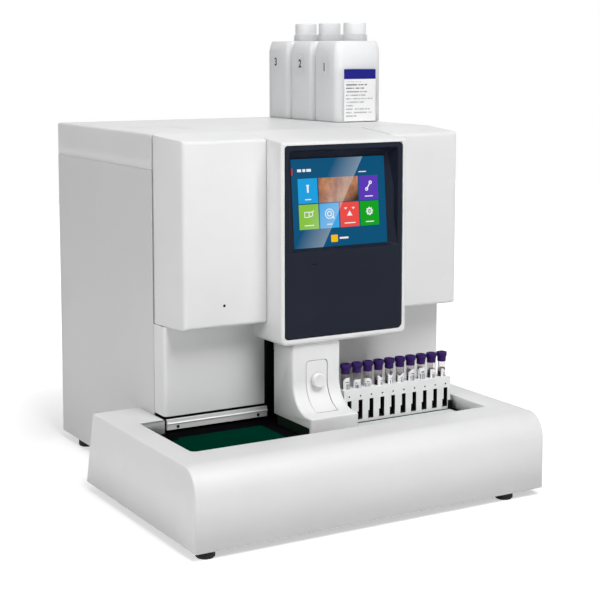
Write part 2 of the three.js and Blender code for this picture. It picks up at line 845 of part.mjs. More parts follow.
function powerSwitch() {
  const centreZ = middle(switchZ);
  const halfZ = switchHeight / 2 - rockerGap;
  const faceY = rearPanelY[1] + seatGap;
  const rise = Math.tan(THREE.MathUtils.degToRad(switchTilt)) * halfZ;
  const shape = outline([
    [faceY, centreZ],
    [faceY + rise, centreZ + halfZ],
    [faceY - panelSheet, centreZ + halfZ],
    [switchPivotY, centreZ + rockerRootHeight / 2],
    [switchPivotY, centreZ - rockerRootHeight / 2],
    [faceY - panelSheet, centreZ - halfZ],
    [faceY, centreZ - halfZ],
  ]);
  return prism('x', shape, switchX);
}

// The front casings share one section: flat front, sloping top, rounded front edges
function casingSection(frontY, bottomZ, radius, wall) {
  const front = frontY + wall;
  const rear = wall > 0 ? doorRearY + overrun : doorRearY;
  const topAt = (y) => unitHeight - wall - (doorRearY - y) * slopePerDepth;
  const corner = radius - Math.min(wall, radius / 2);
  const shape = new THREE.Shape();
  shape.moveTo(rear, bottomZ + wall);
  shape.lineTo(rear, topAt(rear));
  shape.lineTo(front + corner, topAt(front + corner));
  shape.absarc(front + corner, topAt(front + corner) - corner, corner, Math.PI / 2, Math.PI, false);
  shape.absarc(front + corner, bottomZ + wall + corner, corner, Math.PI, Math.PI * 1.5, false);
  return shape;
}

// A door shell is open at its back and at the edge next to the console.
function doorShell(side) {
  const consoleEdgeX = side === 0 ? consoleX[0] - seamGap : consoleX[1] + seamGap;
  const outerX = towerX[side];
  const inward = side === 0 ? 1 : -1;
  const xs = side === 0 ? [outerX, consoleEdgeX] : [consoleEdgeX, outerX];
  const openX = consoleEdgeX + inward * 2 * doorCorner;
  const planX = side === 0 ? [outerX, openX] : [openX, outerX];
  const planY = [doorFrontY, doorRearY + 2 * doorCorner];
  const tallZ = [doorBottomHeight - overrun, unitHeight + overrun];
  const outerSection = casingSection(doorFrontY, doorBottomHeight, doorTopRadius, 0);
  const outer = prism('x', outerSection, xs)
    .intersect(prism('z', roundedOutline(planX, planY, doorCorner), tallZ));
  const innerPlanX = inset(planX, casingWall);
  const innerPlanY = inset(planY, casingWall);
  const innerCorner = doorCorner - casingWall;
  const innerSection = casingSection(doorFrontY, doorBottomHeight, doorTopRadius, casingWall);
  const inner = prism('x', innerSection, inset(xs, -overrun))
    .intersect(prism('z', roundedOutline(innerPlanX, innerPlanY, innerCorner), tallZ));
  const shell = outer.subtract(inner);
  const swing = rodZ(hingeInset, [hingeX[side], hingeY], tallZ, fineSides);
  const cornerX = side === 0 ? [outerX - overrun, hingeX[side]] : [hingeX[side], outerX + overrun];
  const cornerCut = block(cornerX, [hingeY, doorRearY + overrun], tallZ).subtract(swing);
  const wallInnerX = outerX + inward * casingWall / 2;
  const knuckleX = side === 0 ? [wallInnerX, hingeX[side]] : [hingeX[side], wallInnerX];
  let door = shell.subtract(cornerCut);
  const pinHole = rodZ(hingePinRadius + hingePinGap, [hingeX[side], hingeY], tallZ);
  const lowKnuckleZ = lugBottomZ + lugThickness + slideGap;
  const highKnuckleZ = lugTopZ - slideGap - knuckleHeight;
  for (const bottomZ of [lowKnuckleZ, highKnuckleZ]) {
    const zs = spanFrom(bottomZ, knuckleHeight);
    const barrel = rodZ(knuckleRadius, [hingeX[side], hingeY], zs);
    const web = block(knuckleX, [hingeY - knuckleRadius, hingeY + knuckleRadius / 2], zs);
    door = door.add(joined(barrel, web).subtract(pinHole));
  }
  return door;
}

function leftDoor() {
  const centre = [towerX[0] + indicatorInset, doorBottomHeight + indicatorRise];
  const hole = rodY(indicatorRadius, centre, [doorFrontY - overrun, doorFrontY + overrun]);
  return doorShell(0).subtract(hole);
}

function hingePin(side) {
  const span = [lugBottomZ - slideGap, lugTopZ + lugThickness + slideGap];
  return rodZ(hingePinRadius, [hingeX[side], hingeY], span);
}

// Console: the middle casing, which stands out from the doors and holds the dark panel
const panelX = [consoleX[0] + panelLeftRim, consoleX[1] - panelRightRim];
const panelZ = [consoleBottomHeight + panelBottomRim, unitHeight - panelTopDrop];

function consoleBody(wall) {
  const xs = inset(consoleX, wall);
  const zs = [consoleBottomHeight + wall, unitHeight + consoleCorner + overrun];
  const ys = [consoleY + wall, hingePlaneY + consoleEdge + overrun];
  const section = casingSection(consoleY, consoleBottomHeight, consoleEdge, wall);
  return prism('y', roundedOutline(xs, zs, consoleCorner - wall), ys, consoleEdge - wall)
    .intersect(prism('x', section, inset(xs, -overrun)));
}

function consoleHousing() {
  const shell = consoleBody(0).subtract(consoleBody(casingWall));
  const windowOutline = roundedOutline(inset(panelX, -seatGap), inset(panelZ, -seatGap), panelCorner);
  const windowY = [consoleY - overrun, consoleY + panelThickness + overrun];
  const belowPanel = block(
    inset(consoleX, -overrun),
    [recessY - seatGap, hingePlaneY + overrun],
    [consoleBottomHeight - overrun, doorBottomHeight],
  );
  const needleSlot = block(
    inset(bayX, casingWall),
    [columnRearY + seatGap, recessY + overrun],
    [consoleBottomHeight - overrun, consoleBottomHeight + overrun],
  );
  const feetY = [doorRearY - overrun, mountFaceY];
  const feetZ = [doorBottomHeight + consoleFootMargin, frameTopZ - consoleFootMargin];
  const leftFoot = block(spanFrom(consoleX[0], casingWall), feetY, feetZ);
  const rightFoot = block([consoleX[1] - casingWall, consoleX[1]], feetY, feetZ);
  const open = shell.subtract(prism('y', windowOutline, windowY)).subtract(belowPanel);
  return joined(open.subtract(needleSlot), leftFoot, rightFoot);
}

// Dark panel with a funnel that falls back to the tilted screen
const openingX = spanFrom(consoleX[0] + screenOpeningInset, screenOpeningWidth);
const openingTopZ = unitHeight - screenOpeningDrop;
const openingZ = [openingTopZ - screenOpeningHeight, openingTopZ];
const glassX = spanAround(middle(openingX), glassWidth);
const panelFaceY = consoleY + panelInset;
const glassFootY = consoleY + glassBottomSink;
const glassHeadY = glassFootY + glassHeight * Math.sin(glassTiltAngle);
const glassBottomZ = openingZ[0] + glassBottomRise;
const glassTopZ = glassBottomZ + glassHeight * Math.cos(glassTiltAngle);

// A box with eight free corners: four in front and four behind, each from the lower left round.
function wedge(front, back) {
  const corners = [...front, ...back];
  const faces = [
    0, 1, 2, 0, 2, 3, 4, 6, 5, 4, 7, 6, 0, 4, 5, 0, 5, 1,
    1, 5, 6, 1, 6, 2, 2, 6, 7, 2, 7, 3, 3, 7, 4, 3, 4, 0,
  ];
  const geometry = new THREE.BufferGeometry();
  geometry.setAttribute('position', new THREE.Float32BufferAttribute(corners.flat(), 3));
  geometry.setIndex(faces);
  return solid(geometry);
}

function rectangle(xs, zs, lowY, highY) {
  return [
    [xs[0], lowY, zs[0]],
    [xs[1], lowY, zs[0]],
    [xs[1], highY, zs[1]],
    [xs[0], highY, zs[1]],
  ];
}

function screenFunnel(grow) {
  const back = inset(glassX, -grow);
  const glassZ = [glassBottomZ - grow, glassTopZ + grow];
  return wedge(
    rectangle(inset(openingX, -grow), inset(openingZ, -grow), panelFaceY, panelFaceY),
    rectangle(back, glassZ, glassFootY, glassHeadY),
  );
}

function consolePanel() {
  const plateY = spanFrom(panelFaceY, panelThickness);
  const plate = prism('y', roundedOutline(panelX, panelZ, panelCorner), plateY);
  const flangeY = [plateY[1] - panelFlangeThickness, plateY[1]];
  const flange = prism('y', roundedOutline(
    inset(panelX, -panelFlange),
    inset(panelZ, -panelFlange),
    panelCorner,
  ), flangeY);
  const behindFaceY = [panelFaceY + panelInset, glassHeadY + overrun];
  const funnelOuter = screenFunnel(funnelWall)
    .intersect(block(inset(openingX, -overrun), behindFaceY, inset(openingZ, -overrun)));
  const nose = wedge(
    rectangle(openingX, openingZ, panelFaceY - overrun, panelFaceY - overrun),
    rectangle(openingX, openingZ, panelFaceY + panelInset, panelFaceY + panelInset),
  );
  let panel = joined(plate, flange, funnelOuter).subtract(screenFunnel(0)).subtract(nose);
  for (const step of [0, 1]) {
    const dash = block(
      spanFrom(openingX[0] + dashLeftOffset + step * dashSpacing, dashWidth),
      [plateY[0] - overrun, plateY[0] + dashDepth],
      spanAround(openingZ[0] - dashDrop, dashHeight),
    );
    panel = panel.subtract(dash);
  }
  return panel;
}

// Screen: a flat module that lies behind the funnel, tilted with it
function touchScreen() {
  const grow = funnelWall / 2;
  const backward = screenThickness * Math.cos(glassTiltAngle);
  const downward = screenThickness * Math.sin(glassTiltAngle);
  const zs = [glassBottomZ - grow, glassTopZ + grow];
  const footY = glassFootY - grow * Math.sin(glassTiltAngle) + seatGap;
  const headY = glassHeadY + grow * Math.sin(glassTiltAngle) + seatGap;
  const xs = inset(glassX, -grow);
  const lowered = zs.map((z) => z - downward);
  return wedge(
    rectangle(xs, zs, footY, headY),
    rectangle(xs, lowered, footY + backward, headY + backward),
  );
}

// Column cover: a hood whose face runs in one curve into the foot
const footCurve = [columnFaceY - columnCurveRadius, aboveDeck(columnFootTopHeight + columnCurveRadius)];
const columnTopZ = consoleBottomHeight - seatGap;
const skirtZ = aboveDeck(columnSkirtHeight);
const drawerZ = [aboveDeck(drawerBottomHeight), aboveDeck(drawerTopHeight)];
const knobCentre = [columnMiddleX, aboveDeck(knobHeight)];

function columnSection(wall) {
  const rearY = columnRearY + (wall > 0 ? overrun : 0);
  const bottomZ = aboveDeck(seatGap) - (wall > 0 ? overrun : 0);
  const noseY = columnFootY + wall;
  const noseTopZ = aboveDeck(columnFootTopHeight) - wall;
  const noseRadius = Math.max(columnFootRadius - wall, seatGap);
  const shape = new THREE.Shape();
  shape.moveTo(rearY, bottomZ);
  shape.lineTo(rearY, columnTopZ - wall);
  shape.lineTo(columnFaceY + wall, columnTopZ - wall);
  shape.absarc(...footCurve, columnCurveRadius + wall, 0, -Math.PI / 2, true);
  shape.lineTo(noseY + noseRadius, noseTopZ);
  shape.absarc(noseY + noseRadius, noseTopZ - noseRadius, noseRadius, Math.PI / 2, Math.PI, false);
  shape.lineTo(noseY, bottomZ);
  return shape;
}

// The drawer's outline through the column's face has two round corners, at its top.
function drawerHole(gap) {
  const xs = inset(drawerX, -gap);
  const zs = inset(drawerZ, -gap);
  const shape = roundedOutline(xs, [zs[0] - 2 * drawerCorner, zs[1]], drawerCorner);
  return prism('y', shape, [columnFootY - overrun, columnRearY - columnWall])
    .intersect(block(inset(xs, -overrun), [fromFront(0), recessY], [zs[0], zs[1] + overrun]));
}

function columnCover() {
  const outer = prism('x', columnSection(0), columnX);
  const inner = prism('x', columnSection(columnWall), inset(columnX, columnWall));
  const skirtCut = block(
    inset(columnX, -overrun),
    [columnFootY + columnWall, columnRearY + overrun],
    [deckTopZ - overrun, skirtZ],
  );
  return outer.subtract(inner).subtract(skirtCut).subtract(drawerHole(slideGap));
}

function columnBase() {
  const footX = inset(columnX, columnWall / 2);
  const footY = [columnFootY + columnWall + seatGap, columnRearY];
  const foot = block(footX, footY, [deckTopZ, skirtZ - seatGap]);
  const pedestalTopZ = drawerZ[0] - seatGap - slideGap;
  const innerRadius = columnCurveRadius + columnWall + slideGap;
  const pedestalFrontY = footCurve[0] + Math.sqrt(innerRadius ** 2 - (footCurve[1] - pedestalTopZ) ** 2);
  const pedestal = block(
    inset(columnX, pedestalSideInset),
    [pedestalFrontY, columnRearY],
    [skirtZ - overrun, pedestalTopZ],
  );
  return foot.add(pedestal);
}

// STAT drawer: its front follows the column's curve, and its floor runs on the pedestal
function statDrawer() {
  const backY = columnFaceY + drawerFrontThickness;
  const tipDrop = footCurve[1] - drawerZ[0] - slideGap;
  const tipAngle = -Math.asin(tipDrop / columnCurveRadius);
  const shape = new THREE.Shape();
  shape.moveTo(backY, drawerZ[0]);
  shape.lineTo(backY, drawerZ[1]);
  shape.lineTo(columnFaceY, drawerZ[1]);
  shape.absarc(...footCurve, columnCurveRadius, 0, tipAngle, true);
  shape.lineTo(footCurve[0] + columnCurveRadius * Math.cos(tipAngle), drawerZ[0]);
  const front = prism('x', shape, drawerX).intersect(drawerHole(0));
  const floor = block(
    inset(drawerX, drawerFloorInset),
    [columnFaceY + slideGap, columnFaceY + drawerLength],
    spanFrom(drawerZ[0], drawerFloorThickness),
  );
  const knobHoleY = [columnFaceY - overrun, columnFaceY + drawerFrontThickness / 2];
  return front.add(floor).subtract(rodY(knobNeckRadius + seatGap, knobCentre, knobHoleY));
}

const holderZ = spanFrom(drawerZ[0] + drawerFloorThickness + seatGap, holderHeight);

function statTubeHolder() {
  const holder = block(spanAround(columnMiddleX, holderSide), holderY, holderZ);
  const boreZ = [holderZ[1] - holderBoreDepth, holderZ[1] + overrun];
  return holder.subtract(rodZ(holderBoreRadius, [columnMiddleX, middle(holderY)], boreZ));
}

function statKnob() {
  const backY = columnFaceY - knobNeckLength + seatGap;
  const frontY = backY - knobLength + knobNeckLength;
  const head = turnedY([
    [0, frontY],
    [knobRadius - knobEdge, frontY],
    [knobRadius, frontY + knobEdge],
    [knobRadius, backY],
    [0, backY],
  ], knobCentre, fineSides);
  const neckY = [columnFaceY - knobNeckLength, columnFaceY + drawerFrontThickness / 2 - seatGap];
  return head.add(rodY(knobNeckRadius, knobCentre, neckY));
}

// Sample rack: ten pockets from above, a stepped slot and a small window in front of each
const tubeY = middle(rackY);
const tubeX = (index) => rackX[0] + rackEndMargin + index * tubePitch;

const tubeBottomZ = aboveDeck(tubeBottomHeight);
const rackTopZ = aboveDeck(rackTopHeight);

function sampleRack() {
  let rack = block(rackX, rackY, [aboveDeck(seatGap), rackTopZ]);
  const slotY = [rackY[0] - overrun, tubeY];
  const slotZ = [aboveDeck(slotBottomHeight), aboveDeck(slotTopHeight)];
  const pocketZ = [tubeBottomZ - pocketGap, rackTopZ + overrun];
  for (let i = 0; i < tubeCount; i += 1) {
    const x = tubeX(i);
    const stepX = [x + slotWidth / 2 - slotFootWidth, x + slotWidth / 2];
    rack = rack.subtract(rodZ(tubeRadius + pocketGap, [x, tubeY], pocketZ));
    rack = rack.subtract(block(spanAround(x, slotWidth), slotY, slotZ));
    rack = rack.subtract(block(stepX, slotY, [slotZ[0], aboveDeck(slotStepHeight)]));
    rack = rack.subtract(rodY(windowRadius, [x, aboveDeck(windowHeight)], slotY, smallSides));
  }
  return rack;
}

// A stoppered tube: round-bottomed glass with its rubber stopper pressed on
function sampleTube(index) {
  const steps = arcSteps - 1;
  const profile = [];
  for (let i = 0; i <= steps; i += 1) {
    const angle = (i / steps) * Math.PI / 2;
    profile.push([tubeRadius * Math.sin(angle), tubeBottomZ + tubeRadius * (1 - Math.cos(angle))]);
  }
  const stopperTopZ = aboveDeck(stopperTopHeight);
  const stopperBottomZ = stopperTopZ - stopperHeight;
  const headZ = stopperTopZ - stopperHeadHeight;
  profile.push([tubeRadius, stopperBottomZ]);
  profile.push([stopperSkirtRadius, stopperBottomZ]);
  profile.push([stopperSkirtRadius, headZ]);
  profile.push([stopperHeadRadius, headZ + stopperDimple]);
  profile.push([stopperHeadRadius, stopperTopZ]);
  profile.push([stopperSkirtRadius / 2, stopperTopZ]);
  profile.push([stopperSkirtRadius / 2, stopperTopZ - stopperDimple]);
  profile.push([0, stopperTopZ - stopperDimple]);
  return turnedZ(profile, [tubeX(index), tubeY], tubeSides);
}

function feedPusher() {
  const barTopZ = deckTopZ - deckThickness - seatGap;
  const barZ = [barTopZ - pusherBarHeight, barTopZ];
  const bar = block([fingerX[0][0], fingerX[1][1]], fingerY, barZ);
  const fingers = fingerX.map((xs) => block(xs, fingerY, [barZ[0], aboveDeck(fingerTopHeight)]));
  return joined(bar, ...fingers);
}

// Needle drive: guide on the frame, carriage round the guide, needle in its arm
const carriageZ = spanFrom(aboveDeck(carriageBottomHeight), carriageHeight);
const needleCentre = [columnMiddleX, fromHinge(needleDepth)];
const guideY = [mountFaceY - guideDepth, mountFaceY];

function needleRail() {
  const zs = [aboveDeck(guideBottomHeight), aboveDeck(guideTopHeight)];
  return block(spanAround(columnMiddleX, guideWidth), guideY, zs);
}

function needleCarriage() {
  const carriageY = [guideY[0] - carriageDepth, guideY[0] + guideDepth / 2];
  const body = block(spanAround(columnMiddleX, carriageWidth), carriageY, carriageZ);
  const groove = block(
    spanAround(columnMiddleX, guideWidth + 2 * seatGap),
    [guideY[0] - seatGap, carriageY[1] + overrun],
    inset(carriageZ, -overrun),
  );
  const armY = [needleCentre[1] - armWidth / 2, carriageY[0] + seatGap];
  const arm = block(spanAround(columnMiddleX, armWidth), armY, spanFrom(carriageZ[0], armHeight));
  const hole = rodZ(needleRadius + seatGap, needleCentre, inset(carriageZ, -overrun));
  return body.subtract(groove).add(arm).subtract(hole);
}

function samplingNeedle() {
  const tipZ = aboveDeck(needleTipHeight);
  return turnedZ([
    [0, tipZ],
    [needleRadius, tipZ + needleTipLength],
    [needleRadius, tipZ + needleLength],
    [0, tipZ + needleLength],
  ], needleCentre, coarseSides);
}

// Fluid pieces on the front frame, behind the doors
const ovenX = spanFrom(towerX[0] + ovenInset, ovenWidth);
const ovenZ = spanFrom(ovenBottomHeight, ovenHeight);

function columnOven() {
  const axisY = mountFaceY - ovenDepth + ovenGrooveRadius;
  const openZ = inset(ovenZ, ovenLand);
  const body = block(ovenX, [mountFaceY - ovenDepth, mountFaceY], ovenZ);
  const groove = rodZ(ovenGrooveRadius, [middle(ovenX), axisY], openZ);
  const mouth = block(
    spanAround(middle(ovenX), 2 * ovenGrooveRadius),
    [mountFaceY - ovenDepth - overrun, axisY],
    openZ,
  );
  const bore = rodZ(columnTubeRadius + seatGap, [middle(ovenX), axisY], inset(ovenZ, -overrun));
  return body.subtract(groove).subtract(mouth).subtract(bore);
}

function analyticColumn() {
  const centreZ = middle(ovenZ);
  const tubeHalf = ovenHeight / 2 - ovenLand - columnTubeGap;
  const centre = [middle(ovenX), mountFaceY - ovenDepth + ovenGrooveRadius];
  const body = rodZ(columnNutRadius, centre, [centreZ - tubeHalf, centreZ + tubeHalf]);
  return body.add(rodZ(columnTubeRadius, centre, inset(ovenZ, -columnNutLength)));
}

const valveAxis = [towerX[0] + valveInset, valveHeight];

function injectionValve() {
  const span = [mountFaceY - valveLength, mountFaceY];
  const stator = rodY(valveRadius, valveAxis, span, fineSides);
  const boreY = [span[0] - overrun, span[0] + valveStemLength + seatGap];
  return stator.subtract(rodY(valveStemRadius + seatGap, valveAxis, boreY));
}

function valveRotor() {
  const faceY = mountFaceY - valveLength;
  const wheelY = [faceY - seatGap - valveRotorLength, faceY - seatGap];
  const wheel = rodY(valveRotorRadius, valveAxis, wheelY, coarseSides);
  const stem = rodY(valveStemRadius, valveAxis, [faceY - valveRotorLength / 2, faceY + valveStemLength]);
  return wheel.add(stem);
}

const pumpX = [towerX[1] - pumpInset - pumpWidth, towerX[1] - pumpInset];
const pumpAxis = [middle(pumpX), mountFaceY - pumpDepth / 2];

function pumpBody() {
  const zs = spanFrom(pumpBottomHeight, pumpHeight);
  const body = block(pumpX, [mountFaceY - pumpDepth, mountFaceY], zs);
  const bore = rodZ(plungerRadius + seatGap, pumpAxis, [zs[0] - overrun, zs[0] + plungerEntry + slideGap]);
  return body.subtract(bore);
}

function pumpPlunger() {
  const topZ = pumpBottomHeight + plungerEntry;
  const bottomZ = topZ - plungerLength;
  const shaft = rodZ(plungerRadius, pumpAxis, [bottomZ, topZ]);
  return shaft.add(rodZ(plungerHeadRadius, pumpAxis, spanFrom(bottomZ, plungerHeadLength)));
}

function detector() {
  const xs = [towerX[1] - detectorInset - detectorWidth, towerX[1] - detectorInset];
  const zs = spanFrom(detectorBottomHeight, detectorHeight);
  return prism('y', roundedOutline(xs, zs, detectorEdge), [mountFaceY - detectorDepth, mountFaceY]);
}

// Electrical pieces inside the tower
function powerSupply() {
  const rearY = rearPanelY[0] - supplyRearMargin;
  return prism('z', roundedOutline(
    spanFrom(fromLeft(supplyLeft), supplyWidth),
    [rearY - supplyDepth, rearY],
    detectorEdge,
  ), spanFrom(chassisTopZ + seatGap, supplyHeight));
}

function controlBoard() {
  const faceY = framePlateY[1] + standOffLength + seatGap;
  const sheet = block(boardX, spanFrom(faceY, boardThickness), boardZ);
  const plugs = [];
  for (const z of [boardZ[0] + boardMargin, boardZ[1] - boardMargin - boardPlugHeight]) {
    for (let i = 0; i < boardPlugCount; i += 1) {
      const x = boardX[0] + boardMargin * 2 + i * (boardPlugWidth + 2 * boardMargin);
      const ys = [faceY + boardThickness / 2, faceY + boardThickness + boardPlugDepth];
      plugs.push(block(spanFrom(x, boardPlugWidth), ys, spanFrom(z, boardPlugHeight)));
    }
  }
  return joined(sheet, ...plugs);
}

function foot(x, y) {
  return turnedZ([
    [0, 0],
    [footRadius - footTaper, 0],
    [footRadius, footTaper],
    [footRadius, footHeight],
    [0, footHeight],
  ], [x, y]);
}

// Reagent bottles in a row along the top cover, and their screw caps
const bottleX = [fromRight(bottleRight) - bottleWidth, fromRight(bottleRight)];
const bottleY = (index) => spanFrom(fromRear(bottleRearDepth) + index * bottlePitch, bottleLength);
const bottleZ = spanFrom(unitHeight + seatGap, bottleHeight);
const neckCentre = (index) => [middle(bottleX) + neckOffset, middle(bottleY(index))];

function bottle(index) {
  const ys = bottleY(index);
  const side = prism('z', roundedOutline(bottleX, ys, bottleCorner), bottleZ);
  const front = prism('y', outline([
    [bottleX[0], bottleZ[0]],
    [bottleX[1], bottleZ[0]],
    [bottleX[1], bottleZ[1] - bottleShoulderDrop],
    [bottleX[1] - bottleShoulder, bottleZ[1]],
    [bottleX[0] + bottleShoulder, bottleZ[1]],
    [bottleX[0], bottleZ[1] - bottleShoulderDrop],
  ]), inset(ys, -overrun));
  const collarTopZ = bottleZ[1] + collarHeight;
  const collar = rodZ(collarRadius, neckCentre(index), [bottleZ[1] - collarHeight, collarTopZ]);
  const neck = rodZ(neckRadius, neckCentre(index), [bottleZ[1], collarTopZ + neckHeight]);
  return joined(side.intersect(front), collar, neck);
}

function bottleCap(index) {
  const bottomZ = bottleZ[1] + collarHeight + seatGap;
  const profile = [
    [neckRadius + slideGap, bottomZ],
    [capRadius, bottomZ],
    [capRadius, bottomZ + capHeight - capEdge],
    [capRadius - capEdge, bottomZ + capHeight],
    [0, bottomZ + capHeight],
    [0, bottomZ + neckHeight + seatGap],
    [neckRadius + slideGap, bottomZ + neckHeight + seatGap],
    [neckRadius + slideGap, bottomZ],
  ];
  return turnedZ(profile, neckCentre(index), fineSides);
}

// Assembly
add('chassis_base', chassisBase(), colours.steel, 0.5, 0.8);
add('front_frame', frontFrame(), colours.steel, 0.5, 0.8);
add('base_cover', baseCover(), colours.casing, 0.45);
add('sample_deck', sampleDeck(), colours.black, 0.6);
add('deck_mat', deckMat(), colours.mat, 0.8);
add('lane_rail', laneRail(), colours.aluminium, 0.35, 0.9);
add('lower_front_panel', lowerFrontPanel(), colours.casingShade, 0.5);
add('left_side_panel', sidePanel(0), colours.casing, 0.5);
add('right_side_panel', sidePanel(1), colours.casing, 0.5);
add('top_cover', topCover(), colours.casing, 0.5);
add('rear_panel', rearPanel(), colours.casingShade, 0.5);
add('fan_rotor', fanRotor(), colours.black, 0.5);
add('power_inlet', powerInlet(), colours.black, 0.5);
add('power_switch', powerSwitch(), colours.black, 0.4);
add('console_housing', consoleHousing(), colours.casing, 0.4);
add('console_panel', consolePanel(), colours.panel, 0.3);
add('touch_screen', touchScreen(), colours.glass, 0.1);
add('left_door', leftDoor(), colours.casing, 0.4);
add('right_door', doorShell(1), colours.casing, 0.4);
add('left_hinge_pin', hingePin(0), colours.steel, 0.3, 0.9);
add('right_hinge_pin', hingePin(1), colours.steel, 0.3, 0.9);
add('column_cover', columnCover(), colours.casing, 0.4);
add('column_base', columnBase(), colours.black, 0.5);
add('stat_drawer', statDrawer(), colours.casing, 0.4);
add('stat_tube_holder', statTubeHolder(), colours.black, 0.5);
add('stat_knob', statKnob(), colours.casing, 0.35);
add('sample_rack', sampleRack(), colours.casing, 0.5);
for (let i = 0; i < tubeCount; i += 1) {
  add(`sample_tube_${i + 1}`, sampleTube(i), colours.stopper, 0.5);
}
add('feed_pusher', feedPusher(), colours.black, 0.5);
add('needle_rail', needleRail(), colours.aluminium, 0.3, 0.9);
add('needle_carriage', needleCarriage(), colours.black, 0.5);
add('sampling_needle', samplingNeedle(), colours.steel, 0.2, 1);
add('column_oven', columnOven(), colours.aluminium, 0.4, 0.8);
add('analytic_column', analyticColumn(), colours.steel, 0.25, 1);
add('injection_valve', injectionValve(), colours.aluminium, 0.35, 0.8);
add('valve_rotor', valveRotor(), colours.black, 0.4);
add('pump_body', pumpBody(), colours.aluminium, 0.4, 0.8);
add('pump_plunger', pumpPlunger(), colours.steel, 0.25, 1);
add('detector', detector(), colours.black, 0.5);
add('power_supply', powerSupply(), colours.steel, 0.5, 0.7);
add('control_board', controlBoard(), colours.board, 0.6);
const footPlaces = {
  foot_front_left: [fromLeft(footFrontLeft), fromFront(footFrontDepth)],
  foot_front_right: [fromRight(footFrontRight), fromFront(footFrontDepth)],
  foot_rear_left: [towerX[0] + footRearInset, fromRear(footRearDepth)],
  foot_rear_right: [towerX[1] - footRearInset, fromRear(footRearDepth)],
};
for (const [name, [x, y]] of Object.entries(footPlaces)) {
  add(name, foot(x, y), colours.black, 0.8);
}
for (let i = 0; i < bottleCount; i += 1) {
  add(`reagent_bottle_${i + 1}`, bottle(i), colours.bottle, 0.35);
  add(`bottle_cap_${i + 1}`, bottleCap(i), colours.casing, 0.4);
}

export default part;
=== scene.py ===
import math

import bmesh
import bpy
import numpy as np
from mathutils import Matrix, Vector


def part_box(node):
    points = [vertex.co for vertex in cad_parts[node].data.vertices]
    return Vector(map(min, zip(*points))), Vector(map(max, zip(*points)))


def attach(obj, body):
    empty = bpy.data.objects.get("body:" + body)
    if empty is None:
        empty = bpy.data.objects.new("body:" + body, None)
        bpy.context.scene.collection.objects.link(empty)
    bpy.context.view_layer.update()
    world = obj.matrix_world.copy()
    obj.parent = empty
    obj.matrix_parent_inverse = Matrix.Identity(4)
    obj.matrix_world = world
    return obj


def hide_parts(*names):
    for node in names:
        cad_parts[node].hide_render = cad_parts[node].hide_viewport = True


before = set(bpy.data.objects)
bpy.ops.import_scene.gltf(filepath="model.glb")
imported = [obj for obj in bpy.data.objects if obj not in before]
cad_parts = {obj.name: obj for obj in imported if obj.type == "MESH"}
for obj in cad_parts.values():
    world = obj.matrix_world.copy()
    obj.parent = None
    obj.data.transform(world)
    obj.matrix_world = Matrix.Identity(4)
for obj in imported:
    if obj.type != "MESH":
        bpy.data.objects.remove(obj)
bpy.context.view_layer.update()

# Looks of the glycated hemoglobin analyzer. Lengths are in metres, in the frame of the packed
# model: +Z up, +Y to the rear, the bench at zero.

bl_info = {
    "name": "Glycated hemoglobin analyzer",
    "version": (1, 0, 0),
    "blender": (4, 5, 0),
    "location": "3D View > Sidebar > Analyzer",
    "description": "Dresses a bench-top analyzer with its casings, screen, rack and bottles",
    "category": "Object",
}

LOW, HIGH = 0, 1
X, Y, Z = 0, 1, 2
GROW = np.array([-1, 1])
FINISH = "finish_"

# Gap between two shells
SEAM = 0.0003
# Places across the unit where the mat is painted black beside the column, as painted shade, and
# painted pale before the rack, as a painted reflection
MAT_SHADE_EDGE, MAT_REFLECTION_EDGE = -0.072, 0.0
# The dark panel's window, from the console's left side and the doors' top, and its size
WINDOW_LEFT, WINDOW_DROP, WINDOW_WIDE, WINDOW_TALL = 0.0141, 0.024, 0.1963, 0.1545


# Places in the frame

def span(node, axis):
    """Low and high end of a node's box on an axis."""
    low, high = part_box(node)
    return np.array([low[axis], high[axis]])


def spans(node):
    return [span(node, axis) for axis in (X, Y, Z)]


def middle(node, *axes):
    """Middle of a node's box on the given axes."""
    return np.array([span(node, axis).mean() for axis in axes])


# Outlines and surfaces

def arc(centre, radii, start, end, count):
    """Ellipse arc: centre + (a cos t, b sin t), t going evenly from start to end in degrees."""
    t = np.radians(np.linspace(start, end, count))
    return np.asarray(centre) + np.column_stack([np.cos(t), np.sin(t)]) * radii


def rounded_loop(us, vs, radius, steps=7):
    """Rectangle with a quarter circle at each corner, anticlockwise from the lower left one."""
    (u0, u1), (v0, v1), r = us, vs, radius
    return np.vstack([
        arc((u0 + r, v0 + r), r, 180, 270, steps), arc((u1 - r, v0 + r), r, 270, 360, steps),
        arc((u1 - r, v1 - r), r, 0, 90, steps), arc((u0 + r, v1 - r), r, 90, 180, steps),
    ])


def spread(points, count):
    """Points at even steps of length along a line of straight pieces, both ends kept."""
    points = np.asarray(points, float)
    steps = np.linalg.norm(np.diff(points, axis=0), axis=1)
    along = np.concatenate([[0], np.cumsum(steps)])
    places = np.linspace(0, along[-1], count)
    return np.column_stack([np.interp(places, along, column) for column in points.T])


def ordered(u, v, w, axis):
    """Coordinates across an axis and along it, put in the order x, y, z."""
    return np.stack({Z: (u, v, w), Y: (u, w, v), X: (w, u, v)}[axis], axis=-1)


def in_plane(loop, axis, place):
    """Flat points set square to an axis: (u, v) becomes (x, y), (x, z) or (y, z)."""
    u, v = loop[:, 0], loop[:, 1]
    return ordered(u, v, np.broadcast_to(place, u.shape), axis)


def ring_at(us, vs, grow, radius, axis, place, steps=7):
    """A rounded rectangle grown on all sides by a width and set square to an axis."""
    return in_plane(rounded_loop(us + grow * GROW, vs + grow * GROW, radius, steps), axis, place)


def edge_inset(drop, radius):
    """How far a round edge draws in below its top: r - sqrt(r^2 - (r - drop)^2)."""
    short = np.clip(radius - np.asarray(drop, float), 0, radius)
    return radius - np.sqrt(radius ** 2 - short ** 2)


